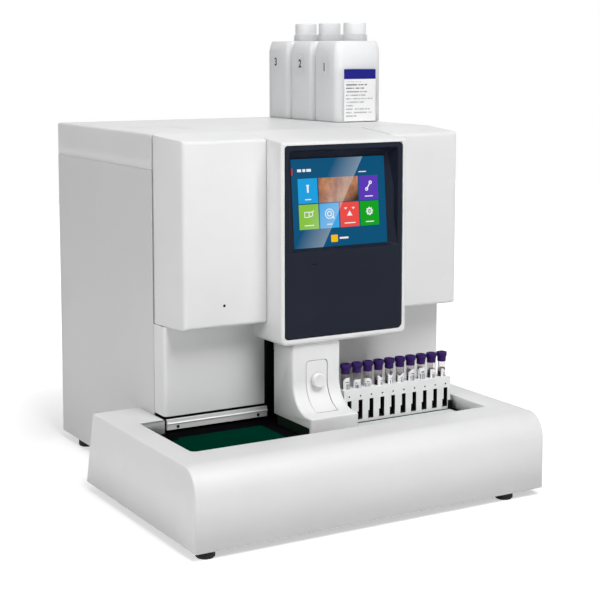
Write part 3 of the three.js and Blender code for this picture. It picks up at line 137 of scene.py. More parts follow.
def edge_drops(radius, count=7):
    """Drops below a round edge's top at even angles: r (1 - cos t) from the top down."""
    return radius * (1 - np.cos(np.linspace(0, np.pi / 2, count)))


class Form:
    """Points, faces and surface coordinates of one piece, gathered surface by surface."""

    def __init__(self):
        self.points, self.uvs, self.faces, self.slots, self.count = [], [], [], [], 0

    def take(self, points, quads, lids=(), finish=0, uvs=None):
        points = np.asarray(points, float).reshape(-1, 3)
        uvs = np.zeros((len(points), 2)) if uvs is None else np.asarray(uvs).reshape(-1, 2)
        faces = (np.asarray(quads, int).reshape(-1, 4) + self.count).tolist()
        faces += [(np.asarray(lid) + self.count).tolist() for lid in lids]
        self.points.append(points)
        self.uvs.append(uvs)
        self.faces += faces
        self.slots += [finish] * len(faces)
        self.count += len(points)
        return self

    def grid(self, rows, wrap_rows=False, wrap_columns=False, lids=(), finish=0, uvs=None):
        """Quads between neighbouring rows of points, closed round where wrapped."""
        rows = np.asarray(rows, float)
        m, k = rows.shape[:2]
        i = np.arange(m if wrap_rows else m - 1)[:, None]
        j = np.arange(k if wrap_columns else k - 1)[None, :]
        i2, j2 = (i + 1) % m, (j + 1) % k
        quads = np.stack([i * k + j, i * k + j2, i2 * k + j2, i2 * k + j], axis=-1)
        ends = {LOW: np.arange(k)[::-1], HIGH: np.arange((m - 1) * k, m * k)}
        return self.take(rows, quads, [ends[lid] for lid in lids], finish, uvs)

    def stack(self, rings, lids=(LOW, HIGH), finish=0, uvs=None):
        """A closed loop carried through a row of places, with flat lids at its ends."""
        return self.grid(rings, wrap_columns=True, lids=lids, finish=finish, uvs=uvs)

    def turned(self, profile, centre, axis=Z, sides=48, waves=0, wave=0):
        """A profile of (radius, place) turned about an axis: radius (cos t, sin t), place. A
        wave adds wave * (1 + cos(waves t)) / 2 of depth to each radius above 40 waves' depth."""
        t = np.linspace(0, 2 * np.pi, sides, endpoint=False)
        r, place = np.asarray(profile, float).T
        deep = np.where(r > wave * 40, wave, 0)[:, None] * (1 + np.cos(waves * t)) / 2
        r = r[:, None] - deep
        u, v = centre[0] + r * np.cos(t), centre[1] + r * np.sin(t)
        return self.stack(ordered(u, v, np.broadcast_to(place[:, None], u.shape), axis), lids=())

    def soft_box(self, xs, ys, zs, edge, axis=Z, corner=None):
        """A rounded rectangle carried along an axis, drawn in at both ends by an arc."""
        sides = [np.asarray(ends) for ends in (xs, ys, zs)]
        low, high = sides.pop(axis)
        corner = edge if corner is None else corner
        drops = edge_drops(edge, 5)
        insets = edge_inset(drops, edge)
        return self.stack([
            ring_at(*sides, -inset, max(corner - inset, 1e-5), axis, place) for place, inset in
            zip((*(low + drops), *(high - drops[::-1])), (*insets, *insets[::-1]))])


# Pieces

def read(items, key, width=1, kind=float):
    """One property of all items, a row for each."""
    values = np.empty(len(items) * width, kind)
    items.foreach_get(key, values)
    return values.reshape(-1, width)


def merge(mesh, flat=None):
    """Closes the seams of a mesh. A new mesh also loses its empty faces and is turned outward.
    A copied one has neighbours joined that lie flat within an angle in degrees."""
    shell = bmesh.new()
    shell.from_mesh(mesh)
    bmesh.ops.remove_doubles(shell, verts=shell.verts, dist=2e-6)
    if flat is None:
        bmesh.ops.dissolve_degenerate(shell, edges=shell.edges, dist=1e-6)
        bmesh.ops.recalc_face_normals(shell, faces=shell.faces)
    else:
        bmesh.ops.dissolve_limit(shell, angle_limit=math.radians(flat), verts=shell.verts,
                                 edges=shell.edges)
    shell.to_mesh(mesh)
    shell.free()


def smooth(mesh, sharp):
    mesh.shade_smooth()
    mesh.set_sharp_from_angle(angle=math.radians(sharp))


def build(name, form, finishes, body, slot, replaces=(), sharp=35, outward=None, modify=None):
    """Makes the mesh of a piece, closes its seams, points its faces outward and hangs it on a
    body. The outward direction is only for an open sheet."""
    mesh = bpy.data.meshes.new(name)
    mesh.from_pydata(np.vstack(form.points).tolist(), [], form.faces)
    mesh.polygons.foreach_set("material_index", form.slots)
    corners = read(mesh.loops, "vertex_index", kind=int).ravel()
    layer = mesh.uv_layers.new(name="surface")
    layer.data.foreach_set("uv", np.vstack(form.uvs)[corners].ravel())
    merge(mesh)
    if outward is not None:
        areas = read(mesh.polygons, "area").ravel()
        if (read(mesh.polygons, "normal", 3) @ np.asarray(outward, float) * areas).sum() < 0:
            mesh.flip_normals()
    smooth(mesh, sharp)
    return hang(name, mesh, finishes, body, slot, replaces, modify)


def finish_of(name):
    """A finish of this script, which may share its plain name with one of the frame."""
    return bpy.data.materials[FINISH + name]


def hang(name, mesh, finishes, body, slot, replaces=(), modify=None):
    """Puts a mesh in the scene as a piece that rides on a body and stands for CAD nodes."""
    piece = bpy.data.objects.new(name, mesh)
    bpy.context.scene.collection.objects.link(piece)
    for finish in finishes:
        mesh.materials.append(finish_of(finish))
    if modify:
        modify(piece)
    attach(piece, body)
    if replaces:
        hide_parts(*replaces)
    return piece


def wall(thickness, side=-1):
    """Gives a sheet its wall, inward from its outer face (-1) or outward (1)."""
    def modify(piece):
        solid = piece.modifiers.new("wall", "SOLIDIFY")
        solid.thickness = thickness
        solid.offset = side
        solid.use_even_offset = False
    return modify


def soften(name, node, width, finish, body, slot, segments=3, lift=0.0, rise=0.0):
    """A copy of a CAD solid with its flat facets merged and its edges rounded. Its foot and its
    top may lie a little higher."""
    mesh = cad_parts[node].data.copy()
    mesh.name = name
    mesh.materials.clear()
    merge(mesh, flat=1)
    if lift or rise:
        near = 0.0005
        places = read(mesh.vertices, "co", 3)
        heights = places[:, Z]
        heights[heights < heights.min() + near] += lift
        heights[heights > heights.max() - near] += rise
        mesh.vertices.foreach_set("co", places.ravel())
    smooth(mesh, 30)

    def modify(piece):
        edge = piece.modifiers.new("edge", "BEVEL")
        edge.width = width
        edge.segments = segments
        edge.limit_method = "ANGLE"
        edge.angle_limit = math.radians(40)
        edge.harden_normals = True
        edge.use_clamp_overlap = True
    return hang(name, mesh, [finish], body, slot, (node,), modify)


# Finishes

class Nodes:
    """A node tree whose nodes are made one after another and linked as they are made."""

    def __init__(self, tree):
        self.tree = tree

    def fill(self, node, inputs):
        """Links or sets inputs. A key is _ and a socket's number, or its name with _ for blanks."""
        for key, value in inputs.items():
            number = key.strip("_")
            socket = node.inputs[int(number) if number.isdigit() else key.replace("_", " ")]
            if isinstance(value, bpy.types.NodeSocket):
                self.tree.links.new(value, socket)
            else:
                socket.default_value = value

    def node(self, kind, settings=None, **inputs):
        new = self.tree.nodes.new("ShaderNode" + kind)
        for key, value in (settings or {}).items():
            setattr(new, key, value)
        self.fill(new, inputs)
        return new

    def math(self, kind, *values):
        inputs = {f"_{index}": value for index, value in enumerate(values)}
        return self.node("Math", {"operation": kind}, **inputs).outputs[0]

    def ranged(self, value, low, high, start=0.3, end=0.7):
        """A value carried from start..end to low..high, and held within them."""
        return self.node("MapRange", {"clamp": True}, Value=value, From_Min=start, From_Max=end,
                         To_Min=low, To_Max=high).outputs["Result"]


class Mix(Nodes):
    """A finish's material, and the patterns that its shader's inputs are mixed from."""

    def __init__(self, name):
        material = bpy.data.materials.new(FINISH + name)
        material.use_nodes = True
        super().__init__(material.node_tree)
        coordinates = self.node("TexCoord").outputs
        self.place, self.uv = coordinates["Object"], coordinates["UV"]

    def on(self, **inputs):
        self.fill(self.tree.nodes["Principled BSDF"], inputs)

    def noise(self, scale, detail=2, stretch=None, rough=0.5):
        place = self.place
        if stretch:
            place = self.node("Mapping", Vector=place, Scale=stretch).outputs["Vector"]
        return self.node("TexNoise", Vector=place, Scale=scale, Detail=detail,
                         Roughness=rough).outputs["Fac"]

    def cloud(self, scale, detail, *bounds):
        return self.ranged(self.noise(scale, detail), *bounds)

    def cells(self, scale, randomness=1.0, feature="F1"):
        return self.node("TexVoronoi", {"feature": feature}, Vector=self.place, Scale=scale,
                         Randomness=randomness).outputs["Distance"]

    def random(self, value):
        return self.node("TexWhiteNoise", {"noise_dimensions": "1D"}, W=value).outputs["Value"]

    def split(self, vector):
        return list(self.node("SeparateXYZ", _0=vector).outputs)

    def times(self, a, b):
        return self.math("MULTIPLY", a, b)

    def above(self, value, bound):
        return self.math("GREATER_THAN", value, bound)

    def below(self, value, bound):
        return self.math("LESS_THAN", value, bound)

    def between(self, value, low, high):
        """1 where a value lies between two bounds, else 0."""
        return self.times(self.above(value, low), self.below(value, high))

    def steps(self, value, count):
        return self.math("FLOOR", self.times(value, count))

    def blend(self, share, a, b, kind="MIX"):
        return self.node("Mix", {"data_type": "RGBA", "blend_type": kind},
                         _0=share, _6=a, _7=b).outputs[2]

    def bump(self, height, strength, depth, **under):
        return self.node("Bump", Strength=strength, Distance=depth, Height=height,
                         **under).outputs["Normal"]

    def in_box(self, low, high):
        """1 inside a box, else 0: the greatest of |place - centre| - half size is below nought."""
        low, high = np.array(low), np.array(high)
        away = self.place
        for kind, other in (("SUBTRACT", (low + high) / 2), ("ABSOLUTE", (0, 0, 0)),
                            ("SUBTRACT", (high - low) / 2)):
            away = self.node("VectorMath", {"operation": kind}, _0=away,
                             _1=tuple(other)).outputs[0]
        x, y, z = self.split(away)
        return self.below(self.math("MAXIMUM", self.math("MAXIMUM", x, y), z), 0.0)


def rgba(colour, gain=1.0):
    return tuple(min(c * gain, 1.0) for c in colour) + (1.0,)


def moulded(name, colour, roughness=0.42, grain=2600, depth=0.00003, tone=0.04, gloss=0.5,
            subsurface=0.0, reach=0.012, hollow=None):
    """Moulded plastic: fine spark-eroded grain over slow waves, with a faint cloudiness of its
    colour and of its gloss. It may be painted dark inside a box, as painted shade in the bores and
    slots of a block."""
    mix = Mix(name)
    tinted = mix.blend(mix.cloud(7, 3, 0, 1), rgba(colour, 1 - tone), rgba(colour, 1 + tone / 2))
    base = mix.blend(mix.cloud(420, 1, 0, tone * 2, 0.5, 0.8), tinted, rgba(colour, 0.72))
    # painted shade: nearly black inside the box, in the bores and slots
    if hollow:
        base = mix.blend(mix.in_box(*hollow), base, (0.018, 0.018, 0.02, 1))
    waves = mix.bump(mix.noise(9, 2), 0.05, 0.0008)
    mix.on(Base_Color=base, Roughness=mix.cloud(30, 3, roughness - 0.05, roughness + 0.06),
           Normal=mix.bump(mix.noise(grain, 1), 0.25, depth, Normal=waves),
           Specular_IOR_Level=gloss)
    if subsurface:
        mix.on(Subsurface_Weight=subsurface, Subsurface_Radius=(1.0, 0.95, 0.95),
               Subsurface_Scale=reach)


def painted(name, colour, roughness=0.4, painted_shade_between=None):
    """Powder paint on sheet metal: orange peel of about two millimetres and a faint fleck. It
    may be painted black between two places across the unit, as painted shade in the needle's bay."""
    mix = Mix(name)
    peel = mix.noise(520, 2)
    tinted = mix.blend(mix.cloud(5, 3, 0, 1), rgba(colour, 0.975), rgba(colour, 1.01))
    fleck = mix.ranged(mix.cells(1500.0), 0.05, 0, 0.0, 0.3)
    base = mix.blend(fleck, tinted, rgba(colour, 0.7))
    # painted shade: the panel is black across the needle's bay
    if painted_shade_between:
        base = mix.blend(mix.between(mix.split(mix.place)[X], *painted_shade_between), base,
                         (0.004, 0.004, 0.004, 1))
    mix.on(Base_Color=base, Roughness=mix.ranged(peel, roughness - 0.04, roughness + 0.05),
           Normal=mix.bump(peel, 0.22, 0.00006), Specular_IOR_Level=0.3)


def metal(name, colour, roughness, stretch=(1, 1, 1), grain=900, depth=0.00002, bare=1.0):
    """Bare metal, brushed along the axis on which its pattern is drawn out."""
    mix = Mix(name)
    brushed = mix.noise(grain, 3, stretch)
    mix.on(Metallic=bare, Normal=mix.bump(brushed, 0.12, depth),
           Base_Color=mix.blend(mix.ranged(brushed, 0, 1), rgba(colour, 0.92), rgba(colour)),
           Roughness=mix.ranged(brushed, roughness - 0.04, roughness + 0.06))


def rubber(name, colour):
    """Moulded rubber: dull, with a fine dust of lighter specks."""
    mix = Mix(name)
    dusty = rgba(tuple(c * 1.6 + 0.01 for c in colour))
    mix.on(Base_Color=mix.blend(mix.cloud(900, 2, 0, 0.35, 0.5, 0.75), rgba(colour), dusty),
           Roughness=mix.cloud(60, 2, 0.5, 0.68), Specular_IOR_Level=0.2,
           Normal=mix.bump(mix.noise(1800, 2), 0.3, 0.00004))


def mat_rubber(name, colour, pale):
    """Anti-slip mat: small round pips in even rows, with painted shade darker between them. It is
    painted black beside the column as painted shade, and painted pale right of it, before the rack,
    as a painted reflection."""
    mix = Mix(name)
    height = mix.ranged(mix.cells(420.0, 0.12), 1, 0, 0.1, 0.5)
    # painted shade: darker between the pips
    shade = mix.blend(height, rgba(colour, 0.72), rgba(colour, 1.08))
    worn = mix.blend(mix.cloud(14, 4, 0, 0.18, 0.45, 0.8), shade, rgba(colour, 1.6))
    across = mix.split(mix.place)[X]
    # painted shade: black beside the column
    painted_shade_mat = mix.blend(mix.above(across, MAT_SHADE_EDGE), worn, (0.004, 0.004, 0.005, 1))
    light = mix.blend(height, rgba(pale, 0.9), rgba(pale))
    # painted reflection: pale before the rack
    mix.on(Base_Color=mix.blend(mix.above(across, MAT_REFLECTION_EDGE), painted_shade_mat, light),
           Roughness=mix.cloud(40, 2, 0.55, 0.75), Normal=mix.bump(height, 0.3, 0.0002),
           Specular_IOR_Level=0.0)


def clear_glass(name):
    """Tube glass, a little grey, its roughness a little uneven."""
    mix = Mix(name)
    mix.on(Base_Color=(0.80, 0.78, 0.78, 1), Transmission_Weight=1.0, IOR=1.2,
           Roughness=mix.cloud(60, 2, 0.0, 0.04))


def blood(name, colour):
    """Whole blood seen through a tube: nearly black red, in upright streaks a little paler and
    darker.
    """
    mix = Mix(name)
    streak = mix.noise(160, 3, (1, 1, 0.25))
    mix.on(Base_Color=mix.blend(mix.ranged(streak, 0, 1), rgba(colour, 0.85), rgba(colour, 1.15)),
           Roughness=mix.ranged(streak, 0.12, 0.3))


def tube_label(name):
    """Paper label on a tube: upright code bars in a block, and a line of small marks over it.
    The bars are a white noise of the place round the tube, cut into steps."""
    mix = Mix(name)
    u, v, _ = mix.split(mix.uv)
    around = mix.math("FRACT", mix.times(u, 2.0))
    bars = mix.above(mix.random(mix.steps(u, 110.0)), 0.45)
    block = mix.times(mix.between(v, 0.16, 0.62), mix.between(around, 0.22, 0.8))
    marks = mix.above(mix.random(mix.steps(u, 70.0)), 0.35)
    line = mix.times(mix.between(v, 0.69, 0.76), mix.between(around, 0.25, 0.7))
    ink = mix.math("MAXIMUM", mix.times(bars, block), mix.times(marks, line))
    paper = mix.blend(mix.cloud(300, 3, 0, 1), (0.82, 0.83, 0.85, 1), (0.88, 0.88, 0.9, 1))
    mix.on(Base_Color=mix.blend(ink, paper, (0.03, 0.03, 0.05, 1)),
           Roughness=mix.cloud(900, 2, 0.45, 0.6),
           Normal=mix.bump(mix.noise(2500, 3), 0.15, 0.00002))


def bottle_label(name, band):
    """Paper label of a bottle: a coloured band on top and rows of grey strokes under it. Each
    row is a stripe of v, and its strokes are white noise of u and of the row's number."""
    mix = Mix(name)
    u, v, _ = mix.split(mix.uv)
    row = mix.times(v, 15.0)
    number = mix.math("FLOOR", row)
    within = mix.between(mix.math("FRACT", row), 0.3, 0.68)
    cell = mix.node("CombineXYZ", _0=mix.steps(u, 44.0), _1=number).outputs[0]
    strokes = mix.node("TexWhiteNoise", {"noise_dimensions": "2D"}, Vector=cell).outputs["Value"]
    end = mix.ranged(mix.random(number), 0.3, 0.95, 0, 1)
    across = mix.times(mix.above(u, 0.06), mix.below(u, end))
    inked = mix.times(mix.above(strokes, 0.22), across)
    text = mix.times(mix.times(inked, within), mix.between(v, 0.05, 0.76))
    paper = mix.blend(mix.cloud(200, 3, 0, 1), (0.86, 0.86, 0.86, 1), (0.9, 0.9, 0.9, 1))
    weight = mix.ranged(v, 0.5, 0.92, 0.45, 0.72)
    printed = mix.blend(mix.times(text, weight), paper, (0.10, 0.10, 0.11, 1))
    mix.on(Base_Color=mix.blend(mix.above(v, 0.81), printed, rgba(band)),
           Specular_IOR_Level=0.15, Roughness=mix.cloud(700, 2, 0.35, 0.5),
           Normal=mix.bump(mix.noise(2200, 3), 0.1, 0.00002))


def lit_display(name, colour, picture=False):
    """A lit area of the screen under glass: its colour, a fine dot grid, and a painted reflection:
    a pale diagonal glare that fades leftward from the line u = 0.305 + 0.462 v of the display's own
    coordinates."""
    mix = Mix(name)
    u, v, _ = mix.split(mix.uv)
    # painted reflection: a pale diagonal glare drawn into the lit colour
    line = mix.math("SUBTRACT", u, mix.math("MULTIPLY_ADD", v, 0.462, 0.305))
    glare = mix.times(mix.ranged(line, 0.0, 0.26, -0.30, 0.0), mix.below(line, 0.0))
    base = rgba(colour)
    if picture:
        folds = mix.ranged(mix.noise(70, 4, (1, 1, 0.6), 0.6), 0, 1)
        warm = mix.blend(folds, (0.24, 0.07, 0.035, 1), (0.60, 0.28, 0.14, 1))
        lit = mix.blend(mix.cloud(900, 2, 0, 0.4, 0.55, 0.75), warm, (0.8, 0.5, 0.3, 1))
        corner = mix.ranged(mix.math("MULTIPLY_ADD", v, -1.1, u), 0, 0.92, -0.1, 0.1)
        base = mix.blend(corner, lit, (0.012, 0.006, 0.004, 1))
    dots = mix.cloud(1600, 1, 0.93, 1.0)
    shade = mix.node("CombineColor", _0=dots, _1=dots, _2=dots).outputs[0]
    glared = mix.blend(glare, base, (0.75, 0.85, 0.9, 1))
    mix.on(Base_Color=(0.004, 0.004, 0.005, 1), Roughness=0.12, Specular_IOR_Level=0.02,
           Emission_Color=mix.blend(1.0, glared, shade, "MULTIPLY"), Emission_Strength=1.0)


def circuit_board(name, colour):
    """Solder-masked board: a net of fine tracks over the green, each a thin cell edge."""
    mix = Mix(name)
    net = mix.ranged(mix.cells(120.0, 0.6, "DISTANCE_TO_EDGE"), 1, 0, 0.02, 0.08)
    mix.on(Base_Color=mix.blend(net, rgba(colour), rgba(colour, 1.7)),
           Roughness=mix.cloud(80, 2, 0.25, 0.4), Normal=mix.bump(net, 0.3, 0.0001))


# What a user would change

def length(name, description, default):
    return bpy.props.FloatProperty(name=name, description=description, default=default,
                                   unit="LENGTH")


def tint(name, description, default):
    return bpy.props.FloatVectorProperty(name=name, description=description, default=default,
                                         subtype="COLOR", size=3, min=0, max=1)


class CasingSizes(bpy.types.PropertyGroup):
    """Sizes of the moulded casings."""
    wall: length("Wall", "Wall of the moulded covers", 0.0025)
    tray_radius: length("Tray radius", "Round of the tray's front", 0.036)
    tray_rim: length("Tray rim", "Round of the tray's other edges", 0.0025)
    tray_well_corner: length("Well corner", "Round of the well's front corners in plan", 0.008)
    tray_lean: length("Tray lean", "How far the tray's rear leans forward at its top", 0.031)
    door_corner: length("Door corner", "Round of a door's upright front edge", 0.007)
    door_slant: length("Door slant", "How far the left door's side leans in at its front", 0.0125)
    door_top: length("Door top", "Round of a door's upper and lower front edges", 0.006)
    door_fall: length("Door fall", "How far the casings' top falls towards the front", 0.007)
    console_corner: length("Console corner", "Round of the console's lower corners", 0.009)
    console_edge: length("Console edge", "Round of the console's front edge", 0.005)


class DetailSizes(bpy.types.PropertyGroup):
    """Sizes of the smaller pieces."""
    stopper_flare: length("Stopper head", "Radius of a tube stopper's head", 0.0086)
    blood_height: length("Blood height", "Fill height in the sample tubes", 0.058)
    cap_ribs: bpy.props.IntProperty(
        name="Cap ribs", description="Ribs round a bottle cap", default=60, min=12, max=120)
    label_width: length("Label width", "Width of the bottle label", 0.0655)
    label_height: length("Label height", "Height of the bottle label", 0.091)


class FinishColours(bpy.types.PropertyGroup):
    """Colours of the finishes."""
    casing: tint("Casing", "Moulded white covers", (0.775, 0.775, 0.775))
    sheet: tint("Sheet", "Painted top of the tower", (0.75, 0.75, 0.75))
    side: tint("Sides", "Painted sides and back of the tower", (0.69, 0.69, 0.69))
    recess: tint("Recessed front", "Painted front under the doors", (0.83, 0.83, 0.83))
    column: tint("Column", "Column cover and its drawer", (0.82, 0.82, 0.82))
    dark: tint("Dark panel", "Panel round the screen", (0.012, 0.0155, 0.027))
    mat: tint("Mat", "Mat on the sample deck", (0.0, 0.034, 0.019))
    black: tint("Black", "Black plastic", (0.004, 0.004, 0.005))
    rack: tint("Rack", "Sample rack", (0.88, 0.88, 0.88))
    stopper: tint("Stopper", "Tube stoppers", (0.026, 0.006, 0.088))
    bottle: tint("Bottle", "Reagent bottles", (0.86, 0.87, 0.885))
    cap: tint("Cap", "Caps of the bottles", (0.84, 0.845, 0.855))
    band: tint("Label band", "Band on the bottle label", (0.010, 0.010, 0.21))
    screen: tint("Screen", "Ground of the display", (0.0, 0.082, 0.19))
    blood: tint("Blood", "Whole blood in the tubes", (0.03, 0.004, 0.004))


def sizes():
    return bpy.context.scene.analyzer_casings


def details():
    return bpy.context.scene.analyzer_details


def colours():
    return bpy.context.scene.analyzer_colours


SCREEN_COLOURS = {
    "sky": (0.008, 0.35, 0.75),
    "picture": (0.5, 0.2, 0.08),
    "violet": (0.105, 0.04, 0.47),
    "lime": (0.25, 0.55, 0.05),
    "azure": (0.045, 0.39, 0.80),
    "red": (0.84, 0.075, 0.06),
    "green": (0.003, 0.36, 0.01),
    "yellow": (0.92, 0.52, 0.003),
    "white": (0.85, 0.88, 0.9),
    "crimson": (0.6, 0.02, 0.02),
}

SOLID_FINISHES = {
    "plated_steel": ["power_supply"],
    "frame_black": ["chassis_base", "front_frame"],
    "casing": ["base_cover", "console_housing", "left_door", "right_door"],
    "column_white": ["column_cover", "stat_drawer", "stat_knob"],
    "matt_black": ["sample_deck"],
    "black_plastic": ["fan_rotor", "power_inlet", "power_switch", "column_base",
                      "feed_pusher", "needle_carriage", "valve_rotor", "detector"],
    "holder_black": ["stat_tube_holder"],
    "mat_green": ["deck_mat"],
    "brushed_aluminium": ["lane_rail", "needle_rail", "column_oven", "injection_valve",
                          "pump_body"],
    "recess_paint": ["lower_front_panel"],
    "sheet_paint": ["top_cover"],
    "side_paint": ["left_side_panel", "right_side_panel", "rear_panel"],
    "dark_panel": ["console_panel"],
    "display": ["touch_screen"],
    "bright_steel": ["left_hinge_pin", "right_hinge_pin", "sampling_needle", "analytic_column",
                     "pump_plunger"],
    "rack_white": ["sample_rack"],
    "tube_glass": [f"sample_tube_{i}" for i in range(1, 11)],
    "board_green": ["control_board"],
    "foot_rubber": ["foot_front_left", "foot_front_right", "foot_rear_left", "foot_rear_right"],
    "bottle_white": [f"reagent_bottle_{i}" for i in range(1, 4)],
    "cap_white": [f"bottle_cap_{i}" for i in range(1, 4)],
}


# Operators

class FinishesOperator(bpy.types.Operator):
    """Make every finish and put the CAD solids' own finishes on them"""
    bl_idname = "analyzer.finishes"
    bl_label = "Finishes"

    def execute(self, context):
        c = colours()
        self.plastics(c)
        painted("sheet_paint", c.sheet)
        painted("side_paint", c.side)
        # The recessed front is painted black in the needle's bay: painted shade
        needle_bay_shade = (-0.0465, 0.0415)
        painted("recess_paint", c.recess, 0.45, needle_bay_shade)
        painted("frame_black", (0.008, 0.008, 0.009), 0.6)
        metal("plated_steel", (0.55, 0.56, 0.58), 0.34, (1, 1, 0.2), 260)
        metal("bright_steel", (0.66, 0.66, 0.67), 0.18, (1, 1, 0.04))
        metal("brushed_aluminium", (0.72, 0.73, 0.74), 0.42, (0.02, 1, 1), 2600, 0.000006)
        metal("satin_aluminium", (0.80, 0.80, 0.80), 0.5, (0.02, 1, 1), 2600, 0.000006, 0.35)
        rubber("foot_rubber", (0.012, 0.012, 0.012))
        rubber("stopper_rubber", c.stopper)
        # The mat's pale colour before the rack is a painted reflection
        mat_rubber("mat_green", c.mat, (0.70, 0.75, 0.73))
        clear_glass("tube_glass")
        blood("blood", c.blood)
        tube_label("tube_label")
        bottle_label("bottle_label", c.band)
        circuit_board("board_green", (0.01, 0.12, 0.045))
        lit_display("display", c.screen)
        for name, shade in SCREEN_COLOURS.items():
            lit_display(f"display_{name}", shade, picture=name == "picture")
        for finish, nodes in SOLID_FINISHES.items():
            for node in nodes:
                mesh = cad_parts[node].data
                mesh.materials.clear()
                mesh.materials.append(finish_of(finish))
        return {"FINISHED"}

    def plastics(self, c):
        low, high = (np.array(corner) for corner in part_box("sample_rack"))
        skin = np.array([0.0012, 0.0005, 0.0012])
        moulded("casing", c.casing, tone=0.03)
        # The rack is painted dark inside its bores and slots: painted shade
        moulded("rack_white", c.rack, 0.5, 3200, tone=0.03, hollow=(low + skin, high - skin))
        moulded("column_white", c.column, tone=0.03)
        # Its green tint is a painted reflection of the mat
        moulded("foot_black_mat_reflection", (0.006, 0.014, 0.009), 0.35, tone=0.2, gloss=0.1)
        moulded("cap_white", c.cap, 0.38, 2200, tone=0.03, subsurface=0.15)
        moulded("bottle_white", c.bottle, 0.33, 900, 0.00006, 0.05, subsurface=0.9, reach=0.05)
        moulded("black_plastic", c.black, 0.5, tone=0.3, gloss=0.1)
        moulded("dark_panel", c.dark, 0.36, 3400, 0.00002, 0.12, gloss=0.08)
        moulded("holder_black", c.black, 0.6, 1500, tone=0.4, gloss=0.15)
        moulded("matt_black", c.black, 0.9, tone=0.3, gloss=0.0)
        moulded("sticker", (0.84, 0.84, 0.85), 0.5, 2500, 0.00002)
        moulded("ink", (0.02, 0.02, 0.022), 0.5, tone=0.2)


class TrayOperator(bpy.types.Operator):
    """Make the base cover: a tray with a rounded front, a well for racks and a tower notch"""
    bl_idname = "analyzer.tray"
    bl_label = "Base cover"

    def execute(self, context):
        s = sizes()
        xs, ys, zs = spans("base_cover")
        well = span("sample_deck", X) + SEAM * GROW
        well_front = span("sample_deck", Y)[0] - SEAM
        notch = span("left_side_panel", X)[0] - SEAM, span("right_side_panel", X)[1] + SEAM
        notch_y = span("lower_front_panel", Y)[0] - SEAM
        rim, corner, lip, well_depth = s.tray_rim, 0.003, s.tray_rim * 0.8, 0.026

        def rear(z):
            return ys[1] - s.tray_lean * (z - zs[0]) / (zs[1] - zs[0])

        def outer(z):
            side = edge_inset(zs[1] - z, rim)
            front = ys[0] + edge_inset(zs[1] - z, s.tray_radius)
            x0, x1, y1 = xs[0] + side, xs[1] - side, rear(z) - side
            return in_plane(np.vstack([
                [(notch[0], y1)],
                arc((x0 + corner, y1 - corner), corner, 90, 180, 4),
                [(x0, notch_y + 0.04), (x0, notch_y)],
                arc((x0 + corner, front + corner), corner, 180, 270, 8),
                arc((x1 - corner, front + corner), corner, 270, 360, 8),
                [(x1, notch_y), (x1, notch_y + 0.02)],
                arc((x1 - corner, y1 - corner), corner, 0, 90, 4),
                [(notch[1], y1)],
            ]), Z, z)

        def inner(z, out):
            x0, x1, front = well[0] - out, well[1] + out, well_front - out
            left, right, step = notch[0] - out, notch[1] + out, notch_y - out
            y1, r = rear(z) - edge_inset(zs[1] - z, rim), s.tray_well_corner + out
            return in_plane(np.vstack([
                [(left, y1)] * 5,
                [(left, step), (x0, step)],
                arc((x0 + r, front + r), r, 180, 270, 8),
                arc((x1 - r, front + r), r, 270, 360, 8),
                [(x1, step), (right, step)],
                [(right, y1)] * 5,
            ]), Z, z)

        drops = np.unique(np.concatenate([edge_drops(s.tray_radius, 14), edge_drops(rim, 5)]))
        rows = [outer(zs[0])] + [outer(zs[1] - drop) for drop in drops[::-1]]
        rows += [inner(zs[1] - drop, edge_inset(drop, lip)) for drop in edge_drops(lip, 5)]
        rows.append(inner(zs[1] - well_depth, 0))
        build("base_cover_shell", Form().grid(rows), ["casing"], "root", "casing_white",
              ["base_cover"], outward=(0, 0, 1), modify=wall(s.wall))
        return {"FINISHED"}


def front_top(y, top, rear, front, fall):
    """Height of the casings' sloping top: level with the tower at the rear, lower in front."""
    return top - fall * (rear - y) / (rear - front)


